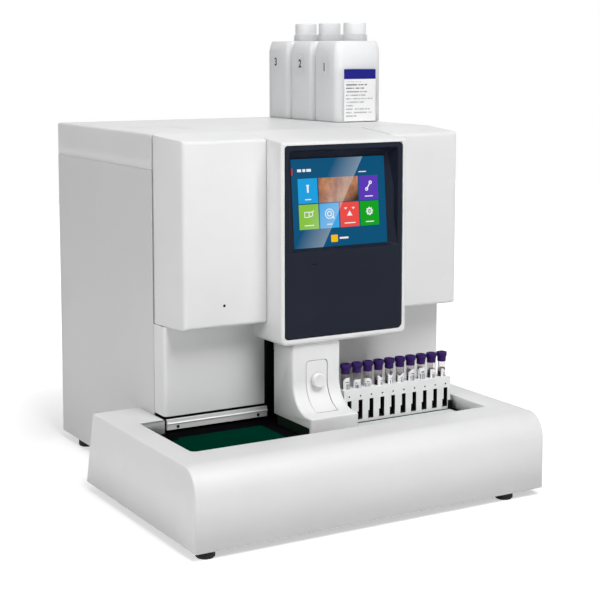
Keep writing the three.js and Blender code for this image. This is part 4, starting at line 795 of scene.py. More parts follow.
class DoorsOperator(bpy.types.Operator):
    """Make the two front casings that swing on the tower's outer edges"""
    bl_idname = "analyzer.doors"
    bl_label = "Doors"

    def execute(self, context):
        self.door("left_door", 1)
        self.door("right_door", -1)
        xs, ys, zs = spans("left_door")
        front, edge = ys[0], 0.0024
        lens = Form().turned([(0, front - 0.0001), (0.0021, front - 0.00012),
                              (edge, front + 0.0001), (edge, front + 0.001), (0, front + 0.001)],
                             (xs[0] + 0.0785, zs[0] + 0.0337), Y, 32)
        build("door_indicator", lens, ["black_plastic"], "left_door", "black_plastic")
        return {"FINISHED"}

    def door(self, node, inward):
        """In plan an L of even wall: heel round the pin, side, rounded corner and front. It is
        closed off behind at its foot and top, and its edges draw in by arcs of the drop. The
        left door's side leans in by a power of the way to the front."""
        s = sizes()
        xs, (front, rear), (bottom, top) = spans(node)
        outer_x, overlap = xs[0] if inward > 0 else xs[1], 0.0016
        width = xs[1] - xs[0] + overlap
        pin_x, pin_y = middle(node.replace("door", "hinge_pin"), X, Y)
        pin_t = abs(pin_x - outer_x)
        corner, edge, side_edge, skin = s.door_corner, s.door_top, 0.002, s.wall
        slant, lean_power = s.door_slant if inward > 0 else 0.0, 1.5
        stop = math.degrees(math.acos((pin_t - skin) / pin_t))
        end = (skin, pin_y + pin_t * math.sin(math.radians(stop)))

        def outline(drop):
            by_front, by_side = edge_inset(drop, edge), edge_inset(drop, side_edge)
            return np.vstack([
                [(width, front + by_front)],
                arc((corner, front + corner), (corner - by_side, corner - by_front), 270, 180, 9),
                spread([(by_side, front + corner), (by_side, pin_y)], 7)[1:-1],
                arc((pin_t, pin_y), (pin_t - by_side, pin_t), 180, 180 - stop, 7),
            ])

        hollow = np.vstack([spread([end, (skin, front + corner)], 7),
                            arc((corner, front + corner), corner - skin, 180, 270, 6),
                            [(width, front + skin)]])
        closed = np.vstack([spread([end, (width, rear)], 10),
                            spread([(width, rear), (width, front + skin)], 4)])

        def ring(z, drop, back):
            loop = np.vstack([outline(drop), back])
            ahead = np.clip((pin_y - loop[:, 1]) / (pin_y - front), 0, 1) ** lean_power
            loop[:, 0] += slant * ahead * np.clip(1 - loop[:, 0] / width, 0, 1)
            heights = z + (z - bottom) / (top - bottom) * (
                front_top(loop[:, 1], top, rear, front, s.door_fall) - top)
            loop[:, 0] = outer_x + inward * loop[:, 0]
            return in_plane(loop, Z, heights)

        levels = []
        for drop in np.unique([*edge_drops(edge, 8), *edge_drops(side_edge, 4), skin]):
            levels.append((drop, closed if drop <= skin else hollow))
            if drop == skin:
                levels.append((drop, hollow))
        form = Form().stack([ring(bottom + drop, drop, back) for drop, back in levels]
                            + [ring(top - drop, drop, back) for drop, back in levels[::-1]])
        bore, sleeve, tall = 0.0024, 0.0037, 0.016
        for share in (0.13, 0.87):
            z = bottom + (top - bottom) * share
            form.turned([(bore, z), (sleeve, z), (sleeve, z + tall), (bore, z + tall), (bore, z)],
                        (outer_x + inward * pin_t, pin_y), Z, 24)
        build(f"{node}_casing", form, ["casing"], node, "casing_white", [node])


class ConsoleOperator(bpy.types.Operator):
    """Make the middle casing, which holds the dark panel in its front"""
    bl_idname = "analyzer.console"
    bl_label = "Console"

    def execute(self, context):
        """A wall that runs from the recess to the front, round the front's edge into the
        window, and back inside by its thickness, with a slot for the needle in its foot."""
        s = sizes()
        xs, ys, zs = spans("console_housing")
        _, (door_front, rear), (sill, top) = spans("left_door")
        front, recess = ys[0], span("lower_front_panel", Y)[0]
        flange = 0.002 - SEAM
        window_x, window_z = (span("console_panel", axis) - flange * GROW for axis in (X, Z))
        centre = span("needle_rail", X).mean()
        slot_y, slot = span("column_cover", Y)[1] + SEAM, centre + 0.0365 * GROW
        corner, edge, lip, skin = s.console_corner, s.console_edge, 0.0012, s.wall
        top_corner, window_corner = 0.003, 0.008

        def top_at(y):
            return front_top(y, top, rear, door_front, s.door_fall)

        def around(y, x0, x1, z0, z1, low, high, mouth=(centre, centre)):
            """Line from the foot's middle leftward round a rounded rectangle and back."""
            return in_plane(np.vstack([
                [(mouth[0], z0)],
                arc((x0 + low, z0 + low), low, 270, 180, 8),
                arc((x0 + high, z1 - high), high, 180, 90, 5),
                arc((x1 - high, z1 - high), high, 90, 0, 5),
                arc((x1 - low, z0 + low), low, 0, -90, 8),
                [(mouth[1], z0)],
            ]), Y, y)

        def path(y, inset, **mouth):
            return around(y, xs[0] + inset, xs[1] - inset, zs[0] + inset, top_at(y) - inset,
                          max(corner - inset, 0.0005), max(top_corner - inset, 0.0004), **mouth)

        def window(y, grow):
            r = window_corner + grow
            return around(y, *(window_x + grow * GROW), *(window_z + grow * GROW), r, r)

        behind = front + edge + skin * 0.5
        rows = [path(recess, 0, mouth=slot), path(slot_y, 0, mouth=slot), path(slot_y, 0)]
        rows += [path(front + drop, edge_inset(drop, edge)) for drop in edge_drops(edge, 8)[::-1]]
        rows += [window(front + drop, edge_inset(drop, lip)) for drop in edge_drops(lip, 4)]
        rows += [window(behind, 0), path(behind, skin), path(slot_y, skin),
                 path(slot_y, skin, mouth=slot), path(recess, skin, mouth=slot)]
        count, columns = len(rows), len(rows[0])
        form = Form().grid(rows, wrap_rows=True)
        for a, b in ((0, 1), (1, 2)):
            pair = [a, b, count - 1 - b, count - 1 - a]
            form.faces.append([row * columns for row in pair])
            form.faces.append([row * columns + columns - 1 for row in pair][::-1])
            form.slots += [0, 0]

        def saddle(y):
            """Section over the recess: side walls and top, open at the bottom."""
            (x0, x1), z1 = xs, top_at(y)
            z2 = z1 - skin
            return in_plane(np.vstack([
                [(x1, sill)], rounded_loop(xs, (sill, z1), top_corner, 4)[8:],
                [(x0, sill), (x0 + skin, sill), (x0 + skin, z2), (x1 - skin, z2),
                 (x1 - skin, sill)]]), Y, y)

        form.stack([saddle(recess), saddle(rear)])
        build("console_casing", form, ["casing"], "root", "casing_white", ["console_housing"])
        x = xs[0]
        dot = Form().turned([(0, x - 0.0001), (0.0013, x - 0.0001), (0.0014, x + 0.0003),
                             (0, x + 0.0003)], (recess + 0.0092, zs[0] + 0.0042), X, 20)
        build("console_screw", dot, ["matt_black"], "root", "black_plastic")
        self.dark_panel()
        return {"FINISHED"}

    def dark_panel(self):
        """The dark panel: a plate with a soft rim, whose window falls back to the screen along
        four sloping walls."""
        flange, edge, lip, depth, corner = 0.002, 0.0022, 0.0016, 0.0065, 0.0078
        outer = [span("console_panel", axis) - flange * GROW for axis in (X, Z)]
        face = span("console_panel", Y)[0]
        opening, glass = screen_opening(), screen_frame()
        wide, tall = glass["width"], glass["height"]
        rings = [ring_at(*outer, 0, corner, Y, face + depth)]
        for drop in edge_drops(edge, 6)[::-1]:
            inset = edge_inset(drop, edge)
            rings.append(ring_at(*outer, -inset, corner - inset, Y, face + drop))
        for drop in edge_drops(lip, 5):
            grow = edge_inset(drop, lip)
            rings.append(ring_at(*opening, grow, 0.0045 + grow, Y, face + drop))
        shelf = rounded_loop((-0.0075, wide + 0.0075), (-0.0036, tall + 0.008), 0.0025)
        rise = np.clip(shelf[:, 1] / tall, 0, 1)
        shelf[:, 0] -= 0.0045 * rise * (shelf[:, 0] > wide)
        shelf = on_screen(shelf, 0.0004)
        share = np.clip((shelf[:, 2:] - glass["corner"][2]) / tall, 0, 1)
        rings.append(rings[-1] * (1 - share) + shelf * share)
        for grow in (0, 0.0015):
            rings.append(on_screen(rounded_loop((-grow, wide + grow), (-grow, tall + grow),
                                                0.001), 0.0004))
        rings.append(ring_at(*opening, 0.003, 0.004, Y, face + depth))
        form = Form().grid(rings, wrap_rows=True, wrap_columns=True)
        build("dark_front_panel", form, ["dark_panel"], "root", "dark_panel", ["console_panel"],
              sharp=24)
        dashes = Form()
        left, z = opening[0][0] + 0.0405, opening[1][0] - 0.02
        for step in (0, 0.004):
            dashes.soft_box((left + step, left + step + 0.0031), (face - 0.00012, face + 0.0005),
                            (z - 0.0006, z + 0.0006), 0.0001, Y, 0.0005)
        build("panel_vents", dashes, ["matt_black"], "root", "black_plastic")


def screen_opening():
    """Sides of the dark panel's window, across and up."""
    return (span("console_housing", X)[0] + np.array([WINDOW_LEFT, WINDOW_LEFT + WINDOW_WIDE]),
            span("left_door", Z)[1] - WINDOW_DROP + np.array([-WINDOW_TALL, 0]))


def screen_frame():
    """Place of the tilted glass: its lower left corner, the way up it and the way out of it."""
    tilt = math.radians(5.1)
    width, height = 0.1696, 0.1365
    centre = span("console_housing", X)[0] + WINDOW_LEFT + WINDOW_WIDE / 2
    foot_y, foot_z = span("console_housing", Y)[0] + 0.0097, screen_opening()[1][0] + 0.0041
    return {
        "corner": np.array([centre - width / 2, foot_y + 0.0003, foot_z]),
        "up": np.array([0, math.sin(tilt), math.cos(tilt)]),
        "out": np.array([0, -math.cos(tilt), math.sin(tilt)]),
        "width": width,
        "height": height,
    }


def on_screen(loop, out):
    """Points of the glass's plane: corner + u across + v up + a distance out."""
    glass = screen_frame()
    across = np.array([1.0, 0, 0])
    return (glass["corner"] + loop[:, :1] * across + loop[:, 1:2] * glass["up"]
            + out * glass["out"])


def turned_flat(loop, centre, degrees=0):
    """A flat loop in millimetres turned about zero and set at a centre, in metres."""
    a = math.radians(degrees)
    turn = np.array([[math.cos(a), math.sin(a)], [-math.sin(a), math.cos(a)]])
    return (np.asarray(loop, float) @ turn + np.asarray(centre)) / 1000


def flat_box(u, v, wide, tall, radius=0.3):
    """A rounded rectangle on the display: place, size and radius in millimetres."""
    return rounded_loop((u / 1000, (u + wide) / 1000), (v / 1000, (v + tall) / 1000),
                        radius / 1000, 4)


class ScreenOperator(bpy.types.Operator):
    """Make the touch screen with its field of coloured tiles and their plain signs"""
    bl_idname = "analyzer.screen"
    bl_label = "Screen"

    columns, rows = (11.2, 48.0, 84.8, 121.6), (28.4, 68.2)
    wide, tall = 34.6, 38.2
    tile_lift, sign_lift = 0.00008, 0.00016

    def execute(self, context):
        """All signs are flat loops in the plane of the glass, drawn out by a lift."""
        glass = screen_frame()
        self.size = np.array([glass["width"], glass["height"]])
        grow = 0.0015
        loop = rounded_loop((-grow, self.size[0] + grow), (-grow, self.size[1] + grow), 0.001, 4)
        slab = Form().stack([on_screen(loop, -0.009), on_screen(loop, 0)],
                            uvs=np.vstack([loop, loop]) / self.size)
        build("screen_glass", slab, ["display"], "root", "screen_glass", ["touch_screen"])
        self.tiles, self.names = Form(), list(SCREEN_COLOURS)
        for finish, column, row, last in (
                ("sky", 0, 1, 0), ("picture", 1, 1, 2), ("violet", 3, 1, 3), ("lime", 0, 0, 0),
                ("azure", 1, 0, 1), ("red", 2, 0, 2), ("green", 3, 0, 3)):
            u, v = self.columns[column], self.rows[row]
            self.patch(flat_box(u, v, self.columns[last] - u + self.wide, self.tall), finish,
                       self.tile_lift)
        self.patch(flat_box(66.5, 6.4, 12.2, 11.2, 1.5), "yellow", self.tile_lift)
        self.patch(flat_box(0.2, 112.5, 2.4, 10), "crimson", self.tile_lift)
        self.words()
        self.signs()
        build("screen_tiles", self.tiles, [f"display_{name}" for name in self.names], "root",
              "screen_glass", sharp=30)
        return {"FINISHED"}

    def patch(self, loop, finish="white", lift=sign_lift):
        self.tiles.stack([on_screen(loop, -0.0001), on_screen(loop, lift)],
                         finish=self.names.index(finish), uvs=np.vstack([loop, loop]) / self.size)

    def ring(self, outer, inner):
        lines = ((outer, -0.0001), (outer, self.sign_lift), (inner, self.sign_lift),
                 (inner, -0.0001))
        self.tiles.grid([on_screen(loop, place) for loop, place in lines], wrap_rows=True,
                        wrap_columns=True, finish=self.names.index("white"),
                        uvs=np.vstack([outer, outer, inner, inner]) / self.size)

    def words(self):
        """Plain bars in the places of words, in the head line, the foot line and the tiles."""
        for u, v, long, tall in ((11.2, 117.5, 7, 4.2), (20.5, 117.5, 5, 4.2),
                                 (27.5, 117.5, 8, 4.2), (121.5, 111.6, 14, 1.4),
                                 (82, 10.6, 16, 2.8)):
            self.patch(flat_box(u, v - tall / 2 + 1.3, long, tall, 0.6))
        for column, row, long in ((0, 1, 11), (3, 1, 15), (0, 0, 17), (1, 0, 10), (2, 0, 20),
                                  (3, 0, 15)):
            centre = self.columns[column] + self.wide / 2
            self.patch(flat_box(centre - long / 2, self.rows[row] + 5.2, long, 1.5, 0.5))

    def signs(self):
        """The tiles' signs: a tube, a spanner, a lens over a sheet, a cycle, a scale, a gear."""
        tube, spanner, lens, cycle, scale, gear = [
            (self.columns[i] + self.wide / 2, self.rows[j] + self.tall * 0.58)
            for i, j in ((0, 1), (3, 1), (0, 0), (1, 0), (2, 0), (3, 0))]
        circle, arrow = arc((0, 0), 1, 0, 337.5, 16), [(3.5, -5.6), (9, -9), (7.4, -3.4)]

        def hoop(outer, inner, at):
            self.ring(turned_flat(circle * outer, at), turned_flat(circle * inner, at))

        self.patch(flat_box(tube[0] - 1.6, tube[1] - 6, 3.2, 12, 1.5))
        self.patch(flat_box(tube[0] - 2.6, tube[1] + 4.2, 5.2, 2.2, 0.8), lift=0.0002)
        self.patch(turned_flat([(-1, -6), (1, -6), (1, 6), (-1, 6)], spanner, -35))
        for end in (6.2, -6.2):
            hoop(2.9, 1.3, turned_flat([(0, end)], spanner, -35)[0] * 1000)
        self.ring(flat_box(lens[0] - 8, lens[1] - 4, 9, 9, 0.5),
                  flat_box(lens[0] - 6.8, lens[1] - 2.8, 6.6, 6.6, 0.4))
        at = (lens[0] + 3.5, lens[1] + 1)
        hoop(4.2, 2.8, at)
        self.patch(turned_flat([(2.6, -0.8), (7.6, -0.8), (7.6, 0.8), (2.6, 0.8)], at, 45))
        hoop(8, 6.6, cycle)
        hoop(4.4, 2.6, cycle)
        self.patch(turned_flat(arrow, cycle))
        self.patch(turned_flat([(-5, -5), (5, -5), (0, 3)], scale))
        for shift in (-7, 7):
            self.patch(turned_flat([(shift - 3, 8), (shift, 4.8), (shift + 3, 8)], scale))
        teeth, hub = np.tile([6.6, 6.6, 5.2, 5.2], 8), arc((0, 0), 1, 0, 360 - 360 / 32, 32)
        self.ring(turned_flat(hub * teeth[:, None], gear), turned_flat(hub * 3.2, gear))
        hoop(1.9, 1.0, gear)


def column_line():
    """The column's front from its foot to its top, as (y, z) points with their length along."""
    _, (foot_y, _), (bottom, top) = spans("column_cover")
    foot_top, radius, nose = span("sample_deck", Z)[1] + 0.0315, 0.044, 0.003
    before_recess = 0.088
    face = span("lower_front_panel", Y)[0] - before_recess
    points = np.vstack([
        spread([(foot_y, bottom), (foot_y, foot_top - nose)], 6),
        arc((foot_y + nose, foot_top - nose), nose, 180, 90, 7)[1:],
        spread([(foot_y + nose, foot_top), (face - radius, foot_top)], 3)[1:],
        arc((face - radius, foot_top + radius), radius, 270, 360, 40)[1:],
        spread([(face, foot_top + radius), (face, top)], 20)[1:],
    ])
    lengths = np.linalg.norm(np.diff(points, axis=0), axis=1)
    return points, np.concatenate([[0], np.cumsum(lengths)])


def on_column(places, along, points, deep=0.0):
    """Point of the column's face at (x, s): x across, and s the length along its front."""
    y = np.interp(places[..., 1], along, points[:, 0])
    z = np.interp(places[..., 1], along, points[:, 1])
    return np.stack([places[..., 0], y + deep, z], axis=-1)


def sides_of(lines, sides=40):
    """A closed loop of lines, each cut into even steps."""
    return np.vstack([spread(line, sides)[:-1] for line in lines])


class ColumnOperator(bpy.types.Operator):
    """Make the column's cover, whose face runs into its foot, with the drawer and its knob"""
    bl_idname = "analyzer.column"
    bl_label = "Column"

    nose = 14
    gap = 0.0008

    def execute(self, context):
        """The face is rings between its border and the drawer's hole, on the column's line. Each
        side is that line drawn in by an arc, with a flat cheek behind it."""
        points, along = column_line()
        xs = span("column_cover", X)
        rear = span("column_cover", Y)[1] + 0.008
        skirt = span("sample_deck", Z)[1] + 0.0155
        bottom, top = points[0, 1], points[-1, 1]
        edge, r, sides = 0.0035, 0.0056, 40
        hole_x = span("stat_drawer", X) + self.gap * GROW
        at = np.interp(span("stat_drawer", Z) + self.gap * GROW, points[:, 1], along)
        low, high = along[self.nose - 1], along[-1]
        flat = (xs[0] + edge, xs[1] - edge)
        corners = [(flat[0], low), (flat[1], low), (flat[1], high), (flat[0], high),
                   (flat[0], low)]
        outer = sides_of(zip(corners, corners[1:]))
        right = arc((hole_x[1] - r, at[1] - r), r, 0, 90, 9)
        left = arc((hole_x[0] + r, at[1] - r), r, 90, 180, 9)
        foot = [(hole_x[0], at[0]), (hole_x[1], at[0])]
        inner = sides_of([foot, np.vstack([foot[1:], right[:5]]),
                          np.vstack([right[4:], left[:5]]), np.vstack([left[4:], foot[:1]])])
        share = (np.linspace(0, 1, 34) ** 0.8)[:, None, None]
        rings = on_column(outer * (1 - share) + inner * share, along, points)
        lip = [on_column(inner, along, points, drop) for drop in edge_drops(0.0008, 4)[1:]]
        form = Form().grid(np.concatenate([rings, lip]), wrap_columns=True)
        nose = np.stack(np.meshgrid(outer[:sides, 0], along[:self.nose], indexing="xy"), axis=-1)
        nose[:, -1, 0] = flat[1]
        form.grid(on_column(nose, along, points))
        marks = np.unique(np.concatenate([along[:self.nose], np.linspace(low, high, sides)]))
        line = np.column_stack([np.interp(marks, along, points[:, i]) for i in (0, 1)])
        way = np.gradient(line, axis=0)
        way /= np.linalg.norm(way, axis=1)[:, None]
        inward = np.column_stack([way[:, 1], -way[:, 0]])
        for x, sign in ((xs[0], 1), (xs[1], -1)):
            rows = [in_plane(line + inward * (edge * (1 - np.cos(angle))), X,
                             x + sign * edge * (1 - np.sin(angle)))
                    for angle in np.linspace(0, np.pi / 2, 6)]
            rows[0][:, 1:] = line
            form.grid(rows)
            last = rows[-1]
            heel = last[0, 1] + 0.0025
            back = [(x, rear, top), (x, rear, skirt), (x, heel, skirt), (x, heel, bottom)]
            form.take(np.vstack([last, back]), [], [np.arange(len(last) + 4)])
        build("column_hood", form, ["column_white"], "root", "casing_white", ["column_cover"],
              sharp=50, outward=(0, -1, 0), modify=wall(sizes().wall * 0.6))
        # the foot's black has a green tint: a painted reflection of the mat
        soften("column_foot", "column_base", 0.001, "foot_black_mat_reflection", "root", "black_plastic")
        self.drawer(points, along, inner)
        self.knob()
        return {"FINISHED"}

    def drawer(self, points, along, hole):
        """The drawer's front follows the face: rings of its outline shrink to its middle."""
        centre = np.array([hole[:, 0].mean(), (hole[:, 1].min() + hole[:, 1].max()) / 2])
        half = np.array([np.ptp(hole[:, 0]), np.ptp(hole[:, 1])]) / 2
        edge = 0.0011

        def shrunk(by):
            return centre + (hole - centre) * (1 - by / half)

        deep = on_column(shrunk(self.gap), along, points)
        back_y = on_column(hole, along, points)[:, 1].max() + 0.006
        back = deep.copy()
        back[:, 1] = back_y
        rows = [np.broadcast_to(back.mean(axis=0), back.shape), back,
                deep + np.array([0, edge, 0])]
        rows += [on_column(shrunk(self.gap + edge_inset(drop, edge)), along, points, drop)
                 for drop in edge_drops(edge, 5)[::-1]]
        face = shrunk(self.gap + edge) - centre
        rows += [on_column(centre + face * (1 - share), along, points)
                 for share in np.linspace(0.06, 1, 22)]
        form = Form().grid(rows, wrap_columns=True)
        (x0, x1), ys, (z0, _) = spans("stat_drawer")
        form.soft_box((x0 + 0.006, x1 - 0.006), (back_y - 0.002, ys[1]), (z0, z0 + 0.009), 0.0008)
        build("stat_drawer_front", form, ["column_white"], "stat_drawer", "casing_white",
              ["stat_drawer"], sharp=50)

    def knob(self):
        """The knob is a turned profile with a slightly dished head and a round edge."""
        xs, (head, foot), _ = spans("stat_knob")
        radius, edge, neck = np.ptp(xs) / 2, 0.0016, 0.006
        profile = [(0, head + 0.0006), (radius * 0.55, head + 0.0005),
                   (radius * 0.8, head + 0.0001)]
        profile += [(radius - edge_inset(d, edge), head + d) for d in edge_drops(edge, 6)]
        profile += [(radius, head + 0.0078), (radius - 0.0008, head + 0.0086),
                    (neck, head + 0.0088), (neck, foot), (0, foot)]
        form = Form().turned(profile, middle("stat_knob", X, Z), Y, 64)
        build("stat_drawer_knob", form, ["column_white"], "stat_drawer", "casing_white",
              ["stat_knob"])
        soften("stat_holder_block", "stat_tube_holder", 0.0008, "holder_black", "stat_drawer",
               "black_plastic")


class TowerOperator(bpy.types.Operator):
    """Round the edges of the tower's panels, the recessed front, the rail and the deck mat"""
    bl_idname = "analyzer.tower"
    bl_label = "Tower"

    def execute(self, context):
        self.top_cover()
        self.hinge_lips()
        self.rail()
        for name, node, width, finish, slot in (
                ("tower_left", "left_side_panel", 0.0016, "side_paint", "panel_white"),
                ("tower_right", "right_side_panel", 0.0016, "side_paint", "panel_white"),
                ("mat_sheet", "deck_mat", 0.0003, "mat_green", "green_mat"),
                ("deck_plate", "sample_deck", 0.0004, "matt_black", "black_plastic")):
            soften(name, node, width, finish, "root", slot)
        xs, ys, zs = spans("deck_mat")
        strip = Form().soft_box((xs[0] + 0.0335, MAT_SHADE_EDGE), (ys[1] - 0.001, ys[1] + 0.0095),
                                (zs[0] + 0.0001, zs[1]), 0.0002)
        build("mat_rear_strip", strip, ["mat_green"], "root", "green_mat")
        soften("recessed_front", "lower_front_panel", 0.001, "recess_paint", "root",
               "casing_white", lift=0.0015, rise=0.0007)
        return {"FINISHED"}

    def top_cover(self):
        """Cover with cut front corners and rounded rear corners whose top dips into a finger
        well: from the line of the rim the top runs inward in rings, lowered by the well's depth
        times a smooth step of the distance inside the well's rounded outline."""
        xs, ys, zs = spans("top_cover")
        corner, edge, cut, depth = 0.002, 0.0042, 0.0015, 0.0036
        side = spread([(0, ys[0] + cut), (0, ys[1] - corner - edge)], 84)[:-1]
        side = np.vstack([(cut, ys[0]), side])

        def rim(inset):
            x0, x1, y1 = xs[0] + inset, xs[1] - inset, ys[1] - inset
            r = max(corner - inset, 0.0004)
            return np.vstack([
                side + (x0, 0),
                arc((x0 + r, y1 - r), r, 180, 90, 8),
                spread([(x0 + r, y1), (x1 - r, y1)], 60)[1:-1],
                arc((x1 - r, y1 - r), r, 90, 0, 8),
                side[::-1] * (-1, 1) + (x1, 0),
            ])

        rows = [in_plane(rim(0), Z, zs[0]), in_plane(rim(0), Z, zs[0] + 0.02)]
        rows += [in_plane(rim(edge_inset(d, edge)), Z, zs[1] - d)
                 for d in edge_drops(edge, 7)[::-1]]
        loop = rim(edge)
        heart = np.column_stack([np.full(len(loop), xs.mean()),
                                 np.clip(loop[:, 1], ys[0], ys[1] - 0.12)])
        well, half, soft = (xs[0] + 0.086, ys[0] + 0.157), (0.0495, 0.054), 0.012
        for share in np.linspace(0, 1, 64)[1:]:
            flat = loop * (1 - share) + heart * share
            q = np.abs(flat - well) - half + soft
            outside = np.linalg.norm(np.maximum(q, 0), axis=1) + np.minimum(q.max(axis=1), 0)
            t = np.clip((soft - outside) / soft, 0, 1)
            rows.append(in_plane(flat, Z, zs[1] - depth * t * t * (3 - 2 * t)))
        build("tower_top", Form().grid(rows), ["sheet_paint"], "root", "panel_white",
              ["top_cover"], outward=(0, 0, 1), modify=wall(0.0015))

    def hinge_lips(self):
        """Lips that narrow the seam behind each door: in plan a wedge that grows from the outside
        to the pin, and leaves room for the door's side when the door stands open."""
        zs = span("left_door", Z)
        front_z, seam = span("lower_front_panel", Z), span("lower_front_panel", Y)[1]
        form = Form()
        for side, end, sign in (("left", 0, 1), ("right", 1, -1)):
            panel = span(f"{side}_side_panel", X)[end]
            pin = middle(f"{side}_hinge_pin", X, Y)
            back = span("top_cover", Y)[0] - 0.00005 - pin[1]
            outer = 0.0016 - abs(pin[0] - panel)
            loop = np.array([(outer, back), (outer, back - 0.0003), (0, back - 0.0011), (0, back)])
            plan = (loop * (sign, 1) + pin)[::sign]
            form.stack([in_plane(plan, Z, z) for z in (zs[0], zs[1] - 0.0012)])
            edge = sorted((panel + sign * 0.0001, panel + sign * 0.0016))
            form.soft_box(edge, (seam - 0.0012, seam + 0.0011), front_z + 0.0005, 0.0001)
        build("door_seam_lips", form, ["side_paint"], "root", "panel_white", sharp=50)

    def rail(self):
        """The lane rail: its section is carried along the unit, with a groove along its middle,
        and two screws have sunk heads."""
        xs, ys, zs = spans("lane_rail")
        face, front = ys[0] + 0.0026, ys[0]
        foot, top = zs[0] + 0.0042, zs[1] - 0.0026
        section = np.array([
            (ys[1], foot), (face - 0.0004, foot), (face - 0.0008, foot + 0.0004),
            (face - 0.0008, foot + 0.0085), (front + 0.0006, foot + 0.0092),
            (front + 0.0002, foot + 0.0098), (front + 0.0006, foot + 0.0106),
            (face, foot + 0.0112), (face, top - 0.0004), (face + 0.0004, top), (ys[1], top)])
        form = Form().stack([in_plane(section, X, x) for x in (xs[0] - 0.0015, xs[1])])
        build("lane_rail_profile", form, ["satin_aluminium"], "root", "aluminium", ["lane_rail"])
        screws, head = Form(), face - 0.0008
        profile = [(radius, head + deep) for radius, deep in (
            (0, -0.0003), (0.0010, -0.0002), (0.0011, -0.0012), (0.0020, -0.0010),
            (0.0025, -0.0002), (0.0025, 0.0005), (0, 0.0005))]
        for x in (xs[0] + 0.0165, xs[1] - 0.0165):
            screws.turned(profile, (x, foot + 0.0042), Y, 24)
        build("lane_rail_screws", screws, ["black_plastic"], "root", "bright_steel")


class RackOperator(bpy.types.Operator):
    """Make the sample rack's soft edges and its ten stoppered, labelled tubes"""
    bl_idname = "analyzer.rack"
    bl_label = "Rack and tubes"

    glass, thick = 0.0065, 0.0009

    def execute(self, context):
        soften("rack_block", "sample_rack", 0.0005, "rack_white", "sample_rack", "rack_plastic", 2)
        for number in range(1, 11):
            node = f"sample_tube_{number}"
            centre, (bottom, top) = middle(node, X, Y), span(node, Z)
            self.tube(number, node, centre, bottom, top - 0.016)
            self.stopper(number, centre, top - 0.016, top)
            self.label(number, centre, bottom)
        return {"FINISHED"}

    def tube(self, number, node, centre, bottom, neck):
        """Glass and blood are turned profiles, each with a half ball for its foot."""
        def dome(radius, foot):
            return [(radius * math.sin(a), foot + radius * (1 - math.cos(a)))
                    for a in np.radians(np.linspace(0, 90, 9))]

        inner, rim, slack = self.glass - self.thick, neck + 0.002, 0.00005
        profile = dome(self.glass, bottom) + [(self.glass, rim), (inner, rim)]
        profile += dome(inner, bottom + self.thick)[::-1]
        build(f"tube_{number}_glass", Form().turned(profile, centre, Z, 40), ["tube_glass"],
              "sample_rack", "tube_glass", [node])
        fill, level = inner - slack, bottom + details().blood_height - 0.004 * (number % 3)
        profile = dome(fill, bottom + self.thick + slack)
        profile += [(fill, level), (fill - 0.0008, level - 0.0004), (0, level - 0.0006)]
        build(f"tube_{number}_blood", Form().turned(profile, centre, Z, 40), ["blood"],
              "sample_rack", "tube_glass")

    def stopper(self, number, centre, neck, top):
        """A turned profile: plug, skirt and wider head with a dished top, ribbed by waves."""
        glass, head, skirt = self.glass, details().stopper_flare, 0.0071
        profile = [(0, neck + 0.004), (glass - 0.001, neck + 0.004), (glass + 0.0001, neck),
                   (skirt - 0.0004, neck), (skirt, neck + 0.0005), (skirt + 0.0001, neck + 0.0074),
                   (head - 0.0005, neck + 0.0086), (head - 0.0001, neck + 0.0092),
                   (head, neck + 0.0102), (head, top - 0.0014), (head - 0.0004, top - 0.0005),
                   (head - 0.0014, top), (0.0056, top), (0.0044, top - 0.0006),
                   (0.0040, top - 0.0030), (0, top - 0.0032)]
        form = Form().turned(profile, centre, Z, 64, waves=32, wave=0.00012)
        build(f"tube_{number}_stopper", form, ["stopper_rubber"], "sample_rack",
              "stopper_rubber")

    def label(self, number, centre, bottom):
        """A slip wound round the tube, whose upper edge falls by a clipped sine of the angle."""
        rng = np.random.default_rng(number)
        start = 200 + rng.uniform(-30, 30)
        t = np.radians(np.linspace(start, start + 290, 60))
        low, high = bottom + 0.041, bottom + 0.064 + rng.uniform(-0.004, 0.003)
        v = np.linspace(0, 1, 10)[:, None]
        ragged = 1 - 0.16 * np.clip(np.sin(t * 2 + number), 0, 1)
        r = self.glass + 0.00008
        rows = np.stack(np.broadcast_arrays(
            centre[0] + r * np.cos(t), centre[1] + r * np.sin(t),
            low + (high - low) * v * ragged), axis=-1)
        uvs = np.stack(np.broadcast_arrays(np.linspace(0, 1, 60) + number, v), axis=-1)
        build(f"tube_{number}_label", Form().grid(rows, uvs=uvs), ["tube_label"], "sample_rack",
              "label_paper", modify=wall(0.0001, 1))


